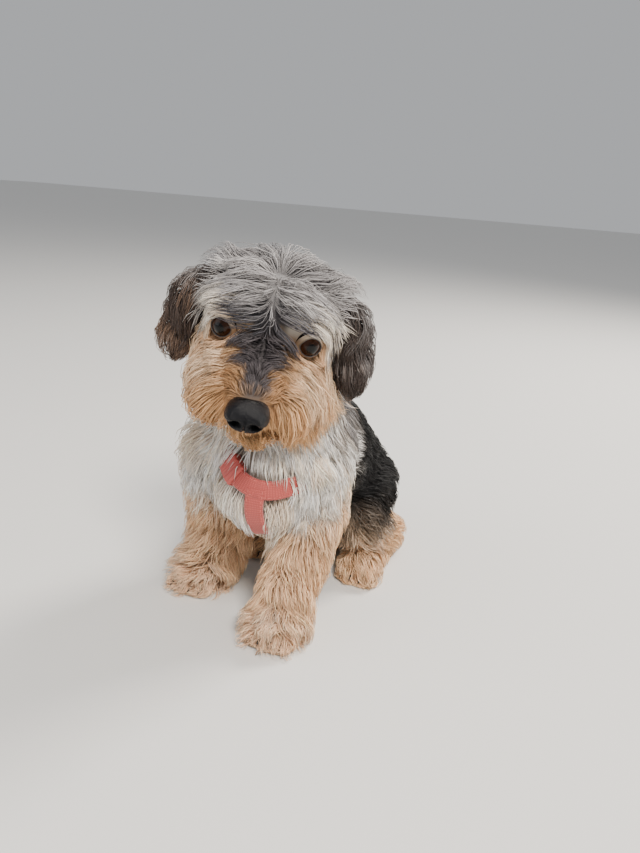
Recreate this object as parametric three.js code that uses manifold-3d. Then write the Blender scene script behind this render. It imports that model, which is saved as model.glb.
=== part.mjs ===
// A small terrier with a clipped, shaggy coat, sitting with its head turned to its left and a harness on.
// It faces -Y, its left side is +X and the floor is z = 0. Sizes are in millimetres.
import * as THREE from "three";
import { mergeVertices } from "three/addons/utils/BufferGeometryUtils.js";
import Module from "manifold-3d";

const wasm = await Module();
wasm.setup();
const vec = (x, y, z) => new THREE.Vector3(x, y, z);

// Driving sizes
const EYE_SPACING = 43;
const EYE_RADIUS = 8.5;
const EYE_LEVEL = 188;
const HEAD_TURN = 22;
const HEAD_DROP = 10;
const HEAD_TILT = 9;
const WITHERS_HEIGHT = 148;
const CHEST_RADIUS = 30;
const RUMP_BACK = 104;
const SHOULDER_SPACING = 48;
const HIP_SPACING = 54;
const FOREARM_RADIUS = 10.5;
const SHANK_RADIUS = 12;
const PAW_RADIUS = 10;
const STRAP_WIDTH = 11;
const STRAP_THICKNESS = 2.4;
const GAP = 0.35;

// Coat depths, from the skin to the tips
const COAT = { crown: 17, cheek: 18, muzzle: 7, ear: 11, ruff: 16, back: 12, leg: 13, foot: 10, tail: 13 };
const CORE_SHARE = 0.45;

// Locks of the coat: how far apart they root, their length, half width and thickness, and how far they stand
// proud of the coat's depth
const LOCKS = {
  head: { apart: 16.2, length: 30, half: 6, thick: 2.2, proud: 0.5 },
  ear: { apart: 17, length: 22, half: 4.6, thick: 2, proud: 1 },
  neck: { apart: 20, length: 31, half: 6.6, thick: 2.2, proud: 2 },
  chest: { apart: 24, length: 35, half: 8.2, thick: 2.4, proud: 0.5 },
  rump: { apart: 31, length: 40, half: 9.6, thick: 2.4, proud: 0.5 },
  foreleg: { apart: 24, length: 29, half: 7, thick: 2.2, proud: 1 },
  forepaw: { apart: 24, length: 16, half: 5, thick: 2, proud: 0 },
  thigh: { apart: 26, length: 33, half: 8, thick: 2.3, proud: 0 },
  shank: { apart: 25, length: 22, half: 6.4, thick: 2.2, proud: 0 },
  hindfoot: { apart: 25, length: 15, half: 5, thick: 2, proud: 0 },
  tail: { apart: 21, length: 26, half: 6, thick: 2.2, proud: 1 },
};
const ROOT_DEPTH = 5.5;

// The head's own frame: f forward, l to its left, u up, from the point between the eyes
const browPoint = vec(8, -66, EYE_LEVEL);
const headTurn = new THREE.Matrix4()
  .makeRotationZ(THREE.MathUtils.degToRad(HEAD_TURN))
  .multiply(new THREE.Matrix4().makeRotationX(THREE.MathUtils.degToRad(HEAD_DROP)))
  .multiply(new THREE.Matrix4().makeRotationY(THREE.MathUtils.degToRad(HEAD_TILT)));
const inHead = (f, l, u) => vec(l, -f, u).applyMatrix4(headTurn).add(browPoint);
const headwards = (f, l, u) => vec(l, -f, u).applyMatrix4(headTurn);
const headBack = headTurn.clone().invert();
const asHead = (p) => {
  const q = p.clone().sub(browPoint).applyMatrix4(headBack);
  return { f: -q.y, l: q.x, u: q.z };
};

// A closed body as a manifold-3d solid, and back
function solid(geometry) {
  const bare = geometry.clone();
  bare.deleteAttribute("normal");
  bare.deleteAttribute("uv");
  const merged = mergeVertices(bare, 1e-4);
  const mesh = new wasm.Mesh({
    numProp: 3,
    vertProperties: new Float32Array(merged.attributes.position.array),
    triVerts: new Uint32Array(merged.index.array),
  });
  return new wasm.Manifold(mesh);
}

function geometryOf(body) {
  const mesh = body.getMesh();
  const geometry = new THREE.BufferGeometry();
  geometry.setAttribute("position", new THREE.BufferAttribute(new Float32Array(mesh.vertProperties), 3));
  geometry.setIndex(new THREE.BufferAttribute(new Uint32Array(mesh.triVerts), 1));
  geometry.computeVertexNormals();
  return geometry;
}

const joined = (bodies) => bodies.reduce((all, one) => all.add(one));

// Only the largest closed surface is kept, which fills sealed hollows and drops loose scraps.
function largest(body) {
  const shells = body.decompose();
  return shells.reduce((best, one) => (one.volume() > best.volume() ? one : best));
}

// A chain is a smooth row of balls. Each station is [x, y, z, skin radius, coat depth].
const station = (point, radius, coat) => ({ point, radius, coat });
const CHAIN_STEPS = 2;
function smoothChain(stations) {
  const path = new THREE.CatmullRomCurve3(stations.map((s) => s.point), false, "centripetal");
  const steps = (stations.length - 1) * CHAIN_STEPS;
  const made = [];
  for (let i = 0; i <= steps; i++) {
    const along = i / CHAIN_STEPS;
    const a = Math.min(Math.floor(along), stations.length - 2);
    const t = THREE.MathUtils.smoothstep(along - a, 0, 1) * 0.4 + (along - a) * 0.6;
    made.push(
      station(
        path.getPoint(i / steps),
        THREE.MathUtils.lerp(stations[a].radius, stations[a + 1].radius, t),
        THREE.MathUtils.lerp(stations[a].coat, stations[a + 1].coat, t),
      ),
    );
  }
  return made;
}

// Fat stretches keep fewer rings, so that no ring cuts through the next on the inside of a bend.
const RING_SPACING = 0.34;
function spacedChain(stations) {
  const chain = smoothChain(stations);
  const kept = [chain[0]];
  for (const s of chain.slice(1, -1)) {
    const reach = RING_SPACING * (s.radius + s.coat);
    const before = s.point.distanceTo(kept[kept.length - 1].point);
    const after = s.point.distanceTo(chain[chain.length - 1].point);
    if (before > reach && after > reach) kept.push(s);
  }
  kept.push(chain[chain.length - 1]);
  return kept;
}

// The tube of a chain, with round ends: share is how much of the coat it holds.
function tube(stations, sides, share, extra = 0) {
  const chain = spacedChain(stations);
  const last = chain.length - 1;
  const rings = [];
  const radiusAt = (s) => s.radius + s.coat * share + extra;
  const along = (i) =>
    chain[Math.min(i + 1, last)].point.clone().sub(chain[Math.max(i - 1, 0)].point).normalize();
  const dome = [62, 31];
  for (const angle of dome) {
    rings.push({ base: 0, back: -Math.sin(THREE.MathUtils.degToRad(angle)), wide: angle });
  }
  chain.forEach((_, i) => rings.push({ base: i, back: 0, wide: 0 }));
  for (const angle of [...dome].reverse()) {
    rings.push({ base: last, back: Math.sin(THREE.MathUtils.degToRad(angle)), wide: angle });
  }
  const positions = [];
  let side = vec(1, 0, 0);
  if (Math.abs(along(0).x) > 0.8) side = vec(0, 0, 1);
  for (const ring of rings) {
    const direction = along(ring.base);
    side = side.clone().addScaledVector(direction, -side.dot(direction)).normalize();
    const up = direction.clone().cross(side);
    const radius = radiusAt(chain[ring.base]);
    const centre = chain[ring.base].point.clone().addScaledVector(direction, ring.back * radius);
    const wide = radius * Math.cos(THREE.MathUtils.degToRad(ring.wide));
    for (let k = 0; k < sides; k++) {
      const turn = ((k + 0.5) / sides) * 2 * Math.PI;
      const p = centre.clone();
      p.addScaledVector(side, wide * Math.cos(turn)).addScaledVector(up, wide * Math.sin(turn));
      positions.push(p);
    }
  }
  const start = chain[0].point.clone().addScaledVector(along(0), -radiusAt(chain[0]));
  const end = chain[last].point.clone().addScaledVector(along(last), radiusAt(chain[last]));
  return solid(skinOver(positions, sides, start, end));
}

// Triangles over rows of points that each go once round, where the last row meets the first
function closedLoop(points, sides) {
  const rows = points.length / sides;
  const index = [];
  for (let row = 0; row < rows; row++) {
    for (let k = 0; k < sides; k++) {
      const a = row * sides + k;
      const b = row * sides + ((k + 1) % sides);
      const c = ((row + 1) % rows) * sides;
      index.push(a, b, c + (b % sides), a, c + (b % sides), c + (a % sides));
    }
  }
  return indexed(points, index);
}

function indexed(points, index) {
  const geometry = new THREE.BufferGeometry();
  const flat = points.flatMap((p) => [p.x, p.y, p.z]);
  geometry.setAttribute("position", new THREE.BufferAttribute(new Float32Array(flat), 3));
  geometry.setIndex(index);
  return geometry;
}

// Triangles over rows of points that each go once round, closed by a point at either end
function skinOver(points, sides, start, end) {
  const rows = points.length / sides;
  const all = [...points, start, end];
  const index = [];
  for (let row = 0; row + 1 < rows; row++) {
    for (let k = 0; k < sides; k++) {
      const a = row * sides + k;
      const b = row * sides + ((k + 1) % sides);
      index.push(a, b, b + sides, a, b + sides, a + sides);
    }
  }
  for (let k = 0; k < sides; k++) {
    const next = (k + 1) % sides;
    index.push(points.length, next, k);
    index.push(points.length + 1, (rows - 1) * sides + k, (rows - 1) * sides + next);
  }
  return indexed(all, index);
}

// Distance from a point to the surface of some chains, blended where two chains meet
const BLEND = 2.5;
function fieldOf(chains, share) {
  const reach = (s) => s.radius + s.coat * share;
  const rows = chains.map((stations) => smoothChain(stations));
  const toSpan = (p, a, b) => {
    const line = b.point.clone().sub(a.point);
    const t = THREE.MathUtils.clamp(p.clone().sub(a.point).dot(line) / line.lengthSq(), 0, 1);
    const nearest = a.point.clone().addScaledVector(line, t);
    return p.distanceTo(nearest) - THREE.MathUtils.lerp(reach(a), reach(b), t);
  };
  return (p) => {
    const each = rows.map((row) => Math.min(...row.slice(1).map((s, i) => toSpan(p, row[i], s))));
    const nearest = Math.min(...each);
    const sum = each.reduce((all, d) => all + Math.exp((nearest - d) / BLEND), 0);
    return nearest - BLEND * Math.log(sum);
  };
}

const NUDGE = 0.5;
function outwardOf(field, p) {
  const slope = (x, y, z) => field(p.clone().add(vec(x, y, z))) - field(p.clone().sub(vec(x, y, z)));
  return vec(slope(NUDGE, 0, 0), slope(0, NUDGE, 0), slope(0, 0, NUDGE)).normalize();
}

// The point at a given height over a field's surface, straight out from or in to p
function atHeight(field, p, height) {
  const found = p.clone();
  for (let i = 0; i < 4; i++) {
    found.addScaledVector(outwardOf(field, found), height - field(found));
  }
  return found;
}

function ball(centre, radii, turn = new THREE.Matrix4(), detail = 14) {
  const geometry = new THREE.SphereGeometry(1, detail, Math.round(detail * 0.7));
  geometry.scale(radii.x, radii.y, radii.z);
  geometry.applyMatrix4(turn);
  geometry.translate(centre.x, centre.y, centre.z);
  return solid(geometry);
}

// Whether two folds of a body only just touch, which gives an edge that more than two faces share
const TOUCH = 1e-3;
function hasTouchingFolds(body) {
  const bare = geometryOf(body);
  bare.deleteAttribute("normal");
  const merged = mergeVertices(bare, TOUCH);
  const index = merged.index.array;
  const faces = new Map();
  for (let i = 0; i < index.length; i += 3) {
    const corners = [index[i], index[i + 1], index[i + 2]];
    if (new Set(corners).size < 3) continue;
    corners.forEach((a, k) => {
      const b = corners[(k + 1) % 3];
      const edge = Math.min(a, b) + "," + Math.max(a, b);
      faces.set(edge, (faces.get(edge) ?? 0) + 1);
    });
  }
  return [...faces.values()].some((count) => count > 2);
}

// What lies above the floor
const ROOM = 600;
const aboveFloor = (() => {
  const box = new THREE.BoxGeometry(ROOM, ROOM, ROOM);
  box.translate(0, 0, ROOM / 2);
  return solid(box);
})();

// The chains of each part
const chestAt = vec(0, 0, WITHERS_HEIGHT - CHEST_RADIUS - COAT.back);
const chestChain = [
  station(vec(0, -40, 92), 22, COAT.ruff - 1),
  station(vec(0, -26, 100), CHEST_RADIUS, COAT.ruff - 3),
  station(chestAt, CHEST_RADIUS + 1, COAT.back),
  station(vec(1, 26, 95), CHEST_RADIUS + 1, COAT.back),
];
const rumpChain = [
  station(vec(1, 26, 95), CHEST_RADIUS + 1, COAT.back),
  station(vec(1, 62, 70), CHEST_RADIUS + 1, COAT.back),
  station(vec(1, RUMP_BACK - 16, 45), CHEST_RADIUS + 1, COAT.back),
  station(vec(1, RUMP_BACK, 29), CHEST_RADIUS - 6, COAT.back - 2),
];
const neckChain = [
  station(vec(0, -22, 126), 26, COAT.ruff),
  station(vec(-2, -30, 147), 25, COAT.ruff),
  station(vec(-4, -37, 168), 23, COAT.ruff),
];
const skullChain = [
  station(inHead(-48, 0, -4), 21, COAT.crown),
  station(inHead(-34, 0, 3), 28, COAT.crown),
  station(inHead(-15, 0, 4), 22, COAT.crown - 4),
];
const muzzleChain = [
  station(inHead(-10, 0, -9), 18, COAT.muzzle),
  station(inHead(14, 0, -17), 13.5, COAT.muzzle),
  station(inHead(34, 0, -22.5), 10, COAT.muzzle / 2),
];
const jawChain = [
  station(inHead(-16, 0, -25), 14, COAT.ruff),
  station(inHead(8, 0, -30), 10, COAT.ruff),
  station(inHead(25, 0, -34), 7, COAT.ruff),
];
const cheekChain = (side) => [
  station(inHead(-22, side * 17, -14), 16, COAT.cheek),
  station(inHead(-2, side * 16, -22), 13, COAT.cheek + 4),
  station(inHead(18, side * 12, -28), 9, COAT.cheek + 6),
];
const orbitChain = (side) => [
  station(inHead(-22, side * 14, 0), 14, 0),
  station(inHead(-9, side * 19, 0), 12, 0),
];
const headChains = [
  skullChain,
  muzzleChain,
  jawChain,
  cheekChain(1),
  cheekChain(-1),
  orbitChain(1),
  orbitChain(-1),
];
const earChain = (side) => [
  station(inHead(-36, side * 36, 15), 6, COAT.ear - 1),
  station(inHead(-31, side * 48, 3), 6, COAT.ear),
  station(inHead(-27, side * 52, -25), 4, COAT.ear),
];

const shoulder = SHOULDER_SPACING / 2;
const forelegChains = {
  left: {
    leg: [
      station(vec(shoulder - 2, -24, 100), 16, COAT.leg),
      station(vec(shoulder, -19, 75), 13, COAT.leg),
      station(vec(shoulder - 1, -33, 46), FOREARM_RADIUS, COAT.leg),
      station(vec(shoulder - 3, -49, 25), FOREARM_RADIUS - 1, COAT.leg),
    ],
    paw: [
      station(vec(shoulder - 3, -49, 13), PAW_RADIUS, COAT.foot + 3),
      station(vec(shoulder - 3, -56, 9), PAW_RADIUS, COAT.foot + 3),
    ],
  },
  right: {
    leg: [
      station(vec(-shoulder - 10, -26, 102), 17, COAT.ruff + 6),
      station(vec(-shoulder - 16, -17, 76), 13, COAT.leg + 7),
      station(vec(-shoulder - 19, -15, 46), FOREARM_RADIUS, COAT.leg + 4),
      station(vec(-shoulder - 22, -19, 25), FOREARM_RADIUS - 1, COAT.leg + 3),
    ],
    paw: [
      station(vec(-shoulder - 25, -20, 13), PAW_RADIUS, COAT.foot + 3),
      station(vec(-shoulder - 27, -28, 9), PAW_RADIUS, COAT.foot + 3),
    ],
  },
};

const hip = HIP_SPACING / 2;
const hindlegChains = (side, ahead) => ({
  thigh: [
    station(vec(side * (hip - 5), 84, 52), 20, COAT.leg - 3),
    station(vec(side * (hip - 1), 62, 50), 19, COAT.leg - 3),
    station(vec(side * (hip + 6), 38 - ahead, 42), 14, COAT.leg - 3),
  ],
  shank: [
    station(vec(side * (hip + 8), 42 - ahead, 36), SHANK_RADIUS, COAT.leg - 4),
    station(vec(side * (hip + 13), 66, 24), SHANK_RADIUS - 1, COAT.leg - 4),
    station(vec(side * (hip + 17), 91, 14), SHANK_RADIUS - 3, COAT.foot - 3),
  ],
  foot: [
    station(vec(side * (hip + 17), 84, 10), SHANK_RADIUS - 4, COAT.foot - 3),
    station(vec(side * (hip + 16), 60 - ahead, 9), SHANK_RADIUS - 4, COAT.foot - 3),
    station(vec(side * (hip + 14), 36 - ahead, 9), PAW_RADIUS, COAT.foot - 3),
  ],
});
const hindlegs = { left: hindlegChains(1, 0), right: hindlegChains(-1, 4) };
const tailChain = [
  station(vec(1, RUMP_BACK + 8, 34), 8, COAT.tail),
  station(vec(3, RUMP_BACK + 26, 18), 6, COAT.tail),
  station(vec(8, RUMP_BACK + 42, 10), 4.5, COAT.tail - 3),
  station(vec(15, RUMP_BACK + 54, 8), 3, COAT.tail - 5),
];

// Build order: each node is cut clear of those before it.
// A sharply bent lock can reach out of its cutter by a little more than CROSSING, in cubic millimetres.
const CROSSING = 0.001;
const made = new Map();
const cutters = new Map();
function addNode(name, bodies, wideBodies, clearOf, finish = (b) => b) {
  let body = finish(joined(bodies)).intersect(aboveFloor);
  for (const other of clearOf) {
    body = body.subtract(cutters.get(other));
    if (body.intersect(made.get(other)).volume() > CROSSING) body = body.subtract(made.get(other));
  }
  body = largest(solid(geometryOf(largest(body))));
  made.set(name, body);
  cutters.set(name, joined(wideBodies));
}

const sidesOf = { left: 1, right: -1 };
const share = CORE_SHARE;

// Harness straps lie flat on the coat: rows of points over the field, each with its own outward normal
function strap(points, field, isLoop, width, low, high) {
  const rows = [];
  const count = points.length;
  points.forEach((p, i) => {
    const before = points[isLoop ? (i + count - 1) % count : Math.max(i - 1, 0)];
    const after = points[isLoop ? (i + 1) % count : Math.min(i + 1, count - 1)];
    const along = after.clone().sub(before).normalize();
    const out = outwardOf(field, p);
    out.addScaledVector(along, -out.dot(along)).normalize();
    const side = out.clone().cross(along);
    const corners = [
      [-width / 2, low],
      [width / 2, low],
      [width / 2, high],
      [-width / 2, high],
    ];
    for (const [across, height] of corners) {
      rows.push(p.clone().addScaledVector(side, across).addScaledVector(out, height));
    }
  });
  if (isLoop) return solid(closedLoop(rows, 4));
  const start = rows.slice(0, 4).reduce((sum, p) => sum.addScaledVector(p, 0.25), vec(0, 0, 0));
  const end = rows.slice(-4).reduce((sum, p) => sum.addScaledVector(p, 0.25), vec(0, 0, 0));
  return solid(skinOver(rows, 4, start, end));
}

// Points where a field's surface meets a plane, once round from the given direction
function ringOn(field, centre, start, across, steps) {
  const points = [];
  for (let i = 0; i < steps; i++) {
    const turn = (i / steps) * 2 * Math.PI;
    const out = start.clone().multiplyScalar(Math.cos(turn)).addScaledVector(across, Math.sin(turn));
    let near = 0;
    let far = 110;
    for (let k = 0; k < 24; k++) {
      const middle = (near + far) / 2;
      if (field(centre.clone().addScaledVector(out, middle)) < 0) near = middle;
      else far = middle;
    }
    points.push(centre.clone().addScaledVector(out, near));
  }
  return points;
}

// Harness: a loop round the neck, straps down the chest and back, a girth behind the elbows and a slider
const trunkField = fieldOf([neckChain, chestChain, rumpChain], share);
const strapLow = 0.5;
const strapHigh = strapLow + STRAP_THICKNESS;
const loopCentre = vec(0, -26, 123);
const loopFront = vec(7, -66, 100).sub(loopCentre).normalize();
const loopSide = loopFront.clone().cross(vec(0, 0.5, 0.87)).normalize();
const girthCentre = vec(0.5, 22, 96);
const girthFront = vec(0, -0.35, -1).normalize();
const neckRing = ringOn(trunkField, loopCentre, loopFront, loopSide, 24);
const girthRing = ringOn(trunkField, girthCentre, girthFront, vec(1, 0, 0), 20);
const chestPath = new THREE.CatmullRomCurve3([
  neckRing[0],
  vec(7, -68, 84),
  vec(7, -52, 62),
  vec(3, -24, 54),
  girthRing[0],
]);
const chestLine = chestPath.getPoints(12).map((p) => atHeight(trunkField, p, 0));
const backPath = new THREE.CatmullRomCurve3([neckRing[neckRing.length / 2], girthRing[girthRing.length / 2]]);
const backLine = backPath.getPoints(4).map((p) => atHeight(trunkField, p, 0));
function addStrap(name, points, isLoop, clearOf, width, low, high) {
  const body = strap(points, trunkField, isLoop, width, low, high);
  const wide = strap(points, trunkField, isLoop, width + 2 * GAP, low - GAP, high + GAP);
  addNode(name, [body], [wide], clearOf);
}
addStrap("harness_neck_loop", neckRing, true, [], STRAP_WIDTH, strapLow, strapHigh);
addStrap("harness_girth", girthRing, true, [], STRAP_WIDTH, strapLow, strapHigh);
const loops = ["harness_neck_loop", "harness_girth"];
addStrap("harness_chest_strap", chestLine, false, loops, STRAP_WIDTH, strapLow, strapHigh);
addStrap("harness_back_strap", backLine, false, loops, STRAP_WIDTH, strapLow, strapHigh);
const sliderLine = neckRing.slice(1, 3);
addStrap("harness_slider", sliderLine, false, loops, STRAP_WIDTH + 3, strapLow - 1.2, strapHigh + 1.6);
const harness = [...loops, "harness_chest_strap", "harness_back_strap", "harness_slider"];

// Eyes, and the leather of the nose with its nostrils
const eyeAt = (side) => inHead(-4.5, (side * EYE_SPACING) / 2, 0);
const eyeAim = (side) => headwards(24, side * 11, -1).normalize();
for (const [name, side] of Object.entries(sidesOf)) {
  const round = (r) => ball(eyeAt(side), vec(r, r, r), headTurn, 10);
  addNode("eye_" + name, [round(EYE_RADIUS)], [round(EYE_RADIUS + GAP)], []);
}
const noseAt = inHead(45, 0, -25);
const noseBall = (extra) => ball(noseAt, vec(11.5 + extra, 8 + extra, 8.5 + extra), headTurn, 11);
const nostril = (side) => ball(inHead(53, side * 4.2, -26.5), vec(2, 3.4, 1.7), headTurn, 6);
const nostrilSlit = (side) => ball(inHead(50.5, side * 8, -27.8), vec(2.6, 3, 0.9), headTurn, 6);
addNode("nose", [noseBall(0)], [noseBall(GAP)], [], (body) =>
  [1, -1].reduce((nose, side) => nose.subtract(nostril(side)).subtract(nostrilSlit(side)), body),
);

// Every chain of the coated body, by node
const toes = (front, ahead, across) =>
  [-1.5, -0.5, 0.5, 1.5].map((place) => {
    const at = front.clone().addScaledVector(across, place * 6.6).addScaledVector(ahead, 8 - Math.abs(place));
    return { at: at.setZ(TOE.z), ahead };
  });
const TOE = { z: 5.6, wide: 3.7, long: 8, high: 5 };
const toeTurn = (toe) => new THREE.Matrix4().makeRotationZ(Math.atan2(-toe.ahead.x, toe.ahead.y));
const toeBall = (toe, extra) =>
  ball(toe.at, vec(TOE.wide + extra, TOE.long + extra, TOE.high + extra), toeTurn(toe), 6);
const pawToes = {
  forepaw_left: toes(vec(shoulder - 3, -61, 7), vec(0.05, -1, 0).normalize(), vec(1, 0.05, 0)),
  forepaw_right: toes(vec(-shoulder - 27, -33, 7), vec(-0.15, -1, 0).normalize(), vec(1, -0.15, 0)),
};
const nodeChains = {
  head: headChains,
  ear_left: [earChain(1)],
  ear_right: [earChain(-1)],
  neck: [neckChain],
  chest: [chestChain],
  rump: [rumpChain],
  foreleg_left: [forelegChains.left.leg],
  foreleg_right: [forelegChains.right.leg],
  forepaw_left: [forelegChains.left.paw],
  forepaw_right: [forelegChains.right.paw],
  thigh_left: [hindlegs.left.thigh],
  thigh_right: [hindlegs.right.thigh],
  shank_left: [hindlegs.left.shank],
  shank_right: [hindlegs.right.shank],
  hindfoot_left: [hindlegs.left.foot],
  hindfoot_right: [hindlegs.right.foot],
  tail: [tailChain],
};
const nodeFields = Object.fromEntries(
  Object.entries(nodeChains).map(([name, chains]) => [name, fieldOf(chains, share)]),
);

// Straps under the coat are a low bump that the locks run over.
const strapBump = (points) => points.map((p) => station(atHeight(trunkField, p, -4), 9.1, 0));
const strapField = fieldOf(
  [strapBump([...neckRing, neckRing[0]]), strapBump([...girthRing, girthRing[0]]), strapBump(chestLine), strapBump(backLine)],
  0,
);
const bodyFields = [...Object.values(nodeFields), strapField];
const bodyField = (p) => {
  const each = bodyFields.map((field) => field(p));
  const nearest = Math.min(...each);
  const sum = each.reduce((all, d) => all + Math.exp((nearest - d) / BLEND), 0);
  return nearest - BLEND * Math.log(sum);
};

// Which way the hair lies at a point of each node
const sideOf = (across, soft) => THREE.MathUtils.clamp(across / soft, -1, 1);
const LIE = {
  head: (p) => {
    const { f, l, u } = asHead(p);
    const side = sideOf(l, 6);
    const face = THREE.MathUtils.smoothstep(f, -18, 2);
    const low = THREE.MathUtils.smoothstep(-u, -6, 14);
    const crown = headwards(f > -20 ? 0.1 : -0.7, side, -0.45);
    const muzzle = headwards(-0.15, side * (0.95 - 0.4 * low), -0.45 - 0.6 * low);
    return crown.lerp(muzzle, Math.max(face * 0.8, low));
  },
  ear: (p) => headwards(0.1, sideOf(asHead(p).l, 6) * 0.15, -1),
  neck: (p) => vec(p.x * 0.018, p.y > -30 ? 0.4 : -0.2, -1),
  chest: (p) => vec(p.x * 0.006, p.y < -30 ? 0 : 0.75, p.y < -30 ? -1 : -0.6),
  rump: () => vec(0, 0.8, -0.6),
  foreleg: (p) => vec(p.x > 0 ? 0.12 : -0.2, -0.12, -1),
  forepaw: (p) => vec(p.x > 0 ? 0.25 : -0.4, -0.8, -0.55),
  thigh: () => vec(0, 0.45, -1),
  shank: () => vec(0, 0.9, -0.5),
  hindfoot: (p) => vec(p.x > 0 ? 0.3 : -0.3, -0.8, -0.4),
  tail: () => vec(0.15, 0.9, -0.5),
};

// Places that stay bare: before the eyes, over the nose and lips, and the harness that shows at the chest
const lipLine = [
  inHead(20, 17, -38),
  inHead(35, 11, -39),
  inHead(46, 0, -35),
  inHead(35, -11, -39),
  inHead(20, -17, -38),
].map((p) => atHeight(nodeFields.head, p, 0));
const shownStraps = [...neckRing.slice(0, 4), ...neckRing.slice(-4), ...chestLine.slice(0, 8)];
function staysBare(p) {
  for (const side of [1, -1]) {
    const from = p.clone().sub(eyeAt(side));
    const ahead = from.dot(eyeAim(side));
    const aside = from.addScaledVector(eyeAim(side), -ahead).length();
    if (ahead > -2 && aside < 9.5) return true;
  }
  if (p.distanceTo(noseAt) < 14 || p.distanceTo(lipLine[2]) < 6) return true;
  return shownStraps.some((q) => q.distanceTo(p) < 8.5);
}

// Seeded random draws
function drawFrom(seed) {
  let state = seed;
  return () => {
    state = (state + 0x6d2b79f5) | 0;
    let t = Math.imul(state ^ (state >>> 15), 1 | state);
    t = (t + Math.imul(t ^ (t >>> 7), 61 | t)) ^ t;
    return ((t ^ (t >>> 14)) >>> 0) / 4294967296;
  };
}

// Locks stand closest on the crown and brows, and there are few on the short hair of the muzzle's bridge.
function faceSpacing(p) {
  const { f, l, u } = asHead(p);
  if (f > 0 && Math.abs(l) < 13 && u > -26) return 1.7;
  return u > 4 ? 0.78 : 1.02;
}

// Roots spread evenly over a node's own skin, never nearer than the given distance
const ROOT_TRIES = 2600;
function rootsOn(name, apart, draw) {
  const field = nodeFields[name];
  const roots = [];
  for (let i = 0; i < ROOT_TRIES; i++) {
    const chains = nodeChains[name];
    const chain = smoothChain(chains[Math.floor(draw() * chains.length)]);
    const from = chain[Math.floor(draw() * chain.length)];
    const out = vec(draw() - 0.5, draw() - 0.5, draw() - 0.5).normalize();
    const p = atHeight(field, from.point.clone().addScaledVector(out, from.radius + from.coat * share), 0);
    const own = Math.abs(field(p)) < 0.5;
    const buried = bodyField(p) < -2.2 || strapField(p) < 1;
    const tooLow = p.z < 4;
    if (!own || buried || tooLow || staysBare(p)) continue;
    const near = name === "head" ? apart * faceSpacing(p) : apart;
    if (roots.every((other) => other.point.distanceTo(p) > near)) roots.push({ point: p, coat: from.coat });
  }
  return roots;
}

// A lock runs along the lie and rises from its sunk root to its tip.
const LOCK_ROWS = [0, 0.36, 0.72, 1];
const LOCK_WIDTHS = [0.4, 1, 0.72];
const LOCK_RISES = [0, 0.5, 0.9, 1];
function lockLine(root, length, rise, lie) {
  const points = [atHeight(bodyField, root, -ROOT_DEPTH)];
  for (let i = 1; i < LOCK_ROWS.length; i++) {
    const before = points[i - 1];
    const out = outwardOf(bodyField, before);
    const along = lie(before).normalize();
    along.addScaledVector(out, -along.dot(out)).normalize();
    const step = length * (LOCK_ROWS[i] - LOCK_ROWS[i - 1]);
    const height = rise * LOCK_RISES[i];
    const next = atHeight(bodyField, before.clone().addScaledVector(along, step), height);
    next.z = Math.max(next.z, 1.2);
    points.push(next);
  }
  return points;
}

// A lock's body: flat beneath, ridged on top, and tapered to its tip
function lockBody(points, half, thick, extra) {
  const rows = [];
  points.slice(0, -1).forEach((p, i) => {
    const along = points[i + 1].clone().sub(points[Math.max(i - 1, 0)]).normalize();
    const out = outwardOf(bodyField, p);
    out.addScaledVector(along, -out.dot(along)).normalize();
    const side = out.clone().cross(along);
    const wide = half * LOCK_WIDTHS[i] + extra * 2.2;
    const foot = p.clone().addScaledVector(along, i === 0 ? -extra : 0);
    rows.push(foot.clone().addScaledVector(side, -wide).addScaledVector(out, -extra));
    rows.push(foot.clone().addScaledVector(side, wide).addScaledVector(out, -extra));
    rows.push(foot.clone().addScaledVector(out, thick * (1 - 0.3 * LOCK_ROWS[i]) + extra * 1.6));
  });
  const last = points[points.length - 1];
  const run = last.clone().sub(points[points.length - 2]).normalize();
  const start = rows[0].clone().add(rows[1]).add(rows[2]).multiplyScalar(1 / 3);
  return solid(skinOver(rows, 3, start, last.clone().addScaledVector(run, extra * 4)));
}

const laidLocks = [];
const LOCK_CLEARANCE = 4.2;
function locksOn(name, drawing) {
  const kind = name.split("_")[0];
  const { apart, length, half, thick, proud } = LOCKS[kind];
  const draw = drawFrom(name.length * 977 + name.charCodeAt(name.length - 1) + drawing * 31);
  const own = [];
  for (const root of rootsOn(name, apart, draw)) {
    const rise = root.coat * (1 - share) + proud + draw() * 2 - 1.4;
    const turn = (draw() - 0.5) * 0.5;
    const lie = (p) => {
      const way = LIE[kind](p);
      return way.applyAxisAngle(outwardOf(bodyField, p), turn);
    };
    for (const cut of [0.85 + draw() * 0.3, 0.6]) {
      const line = lockLine(root.point, length * cut, rise, lie);
      const free = line.slice(1);
      const crosses = laidLocks.some((other) => free.some((p) => p.distanceTo(other) < LOCK_CLEARANCE));
      if (crosses || free.some(staysBare)) continue;
      const size = half * (0.85 + draw() * 0.3);
      own.push({ line, size, thick });
      break;
    }
  }
  for (const { line } of own) {
    const path = new THREE.CatmullRomCurve3(line.slice(1));
    laidLocks.push(...path.getPoints(6));
  }
  const slim = own.map((lock) => lockBody(lock.line, lock.size, lock.thick, 0));
  const wide = own.map((lock) => lockBody(lock.line, lock.size, lock.thick, GAP));
  return { slim, wide };
}

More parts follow.
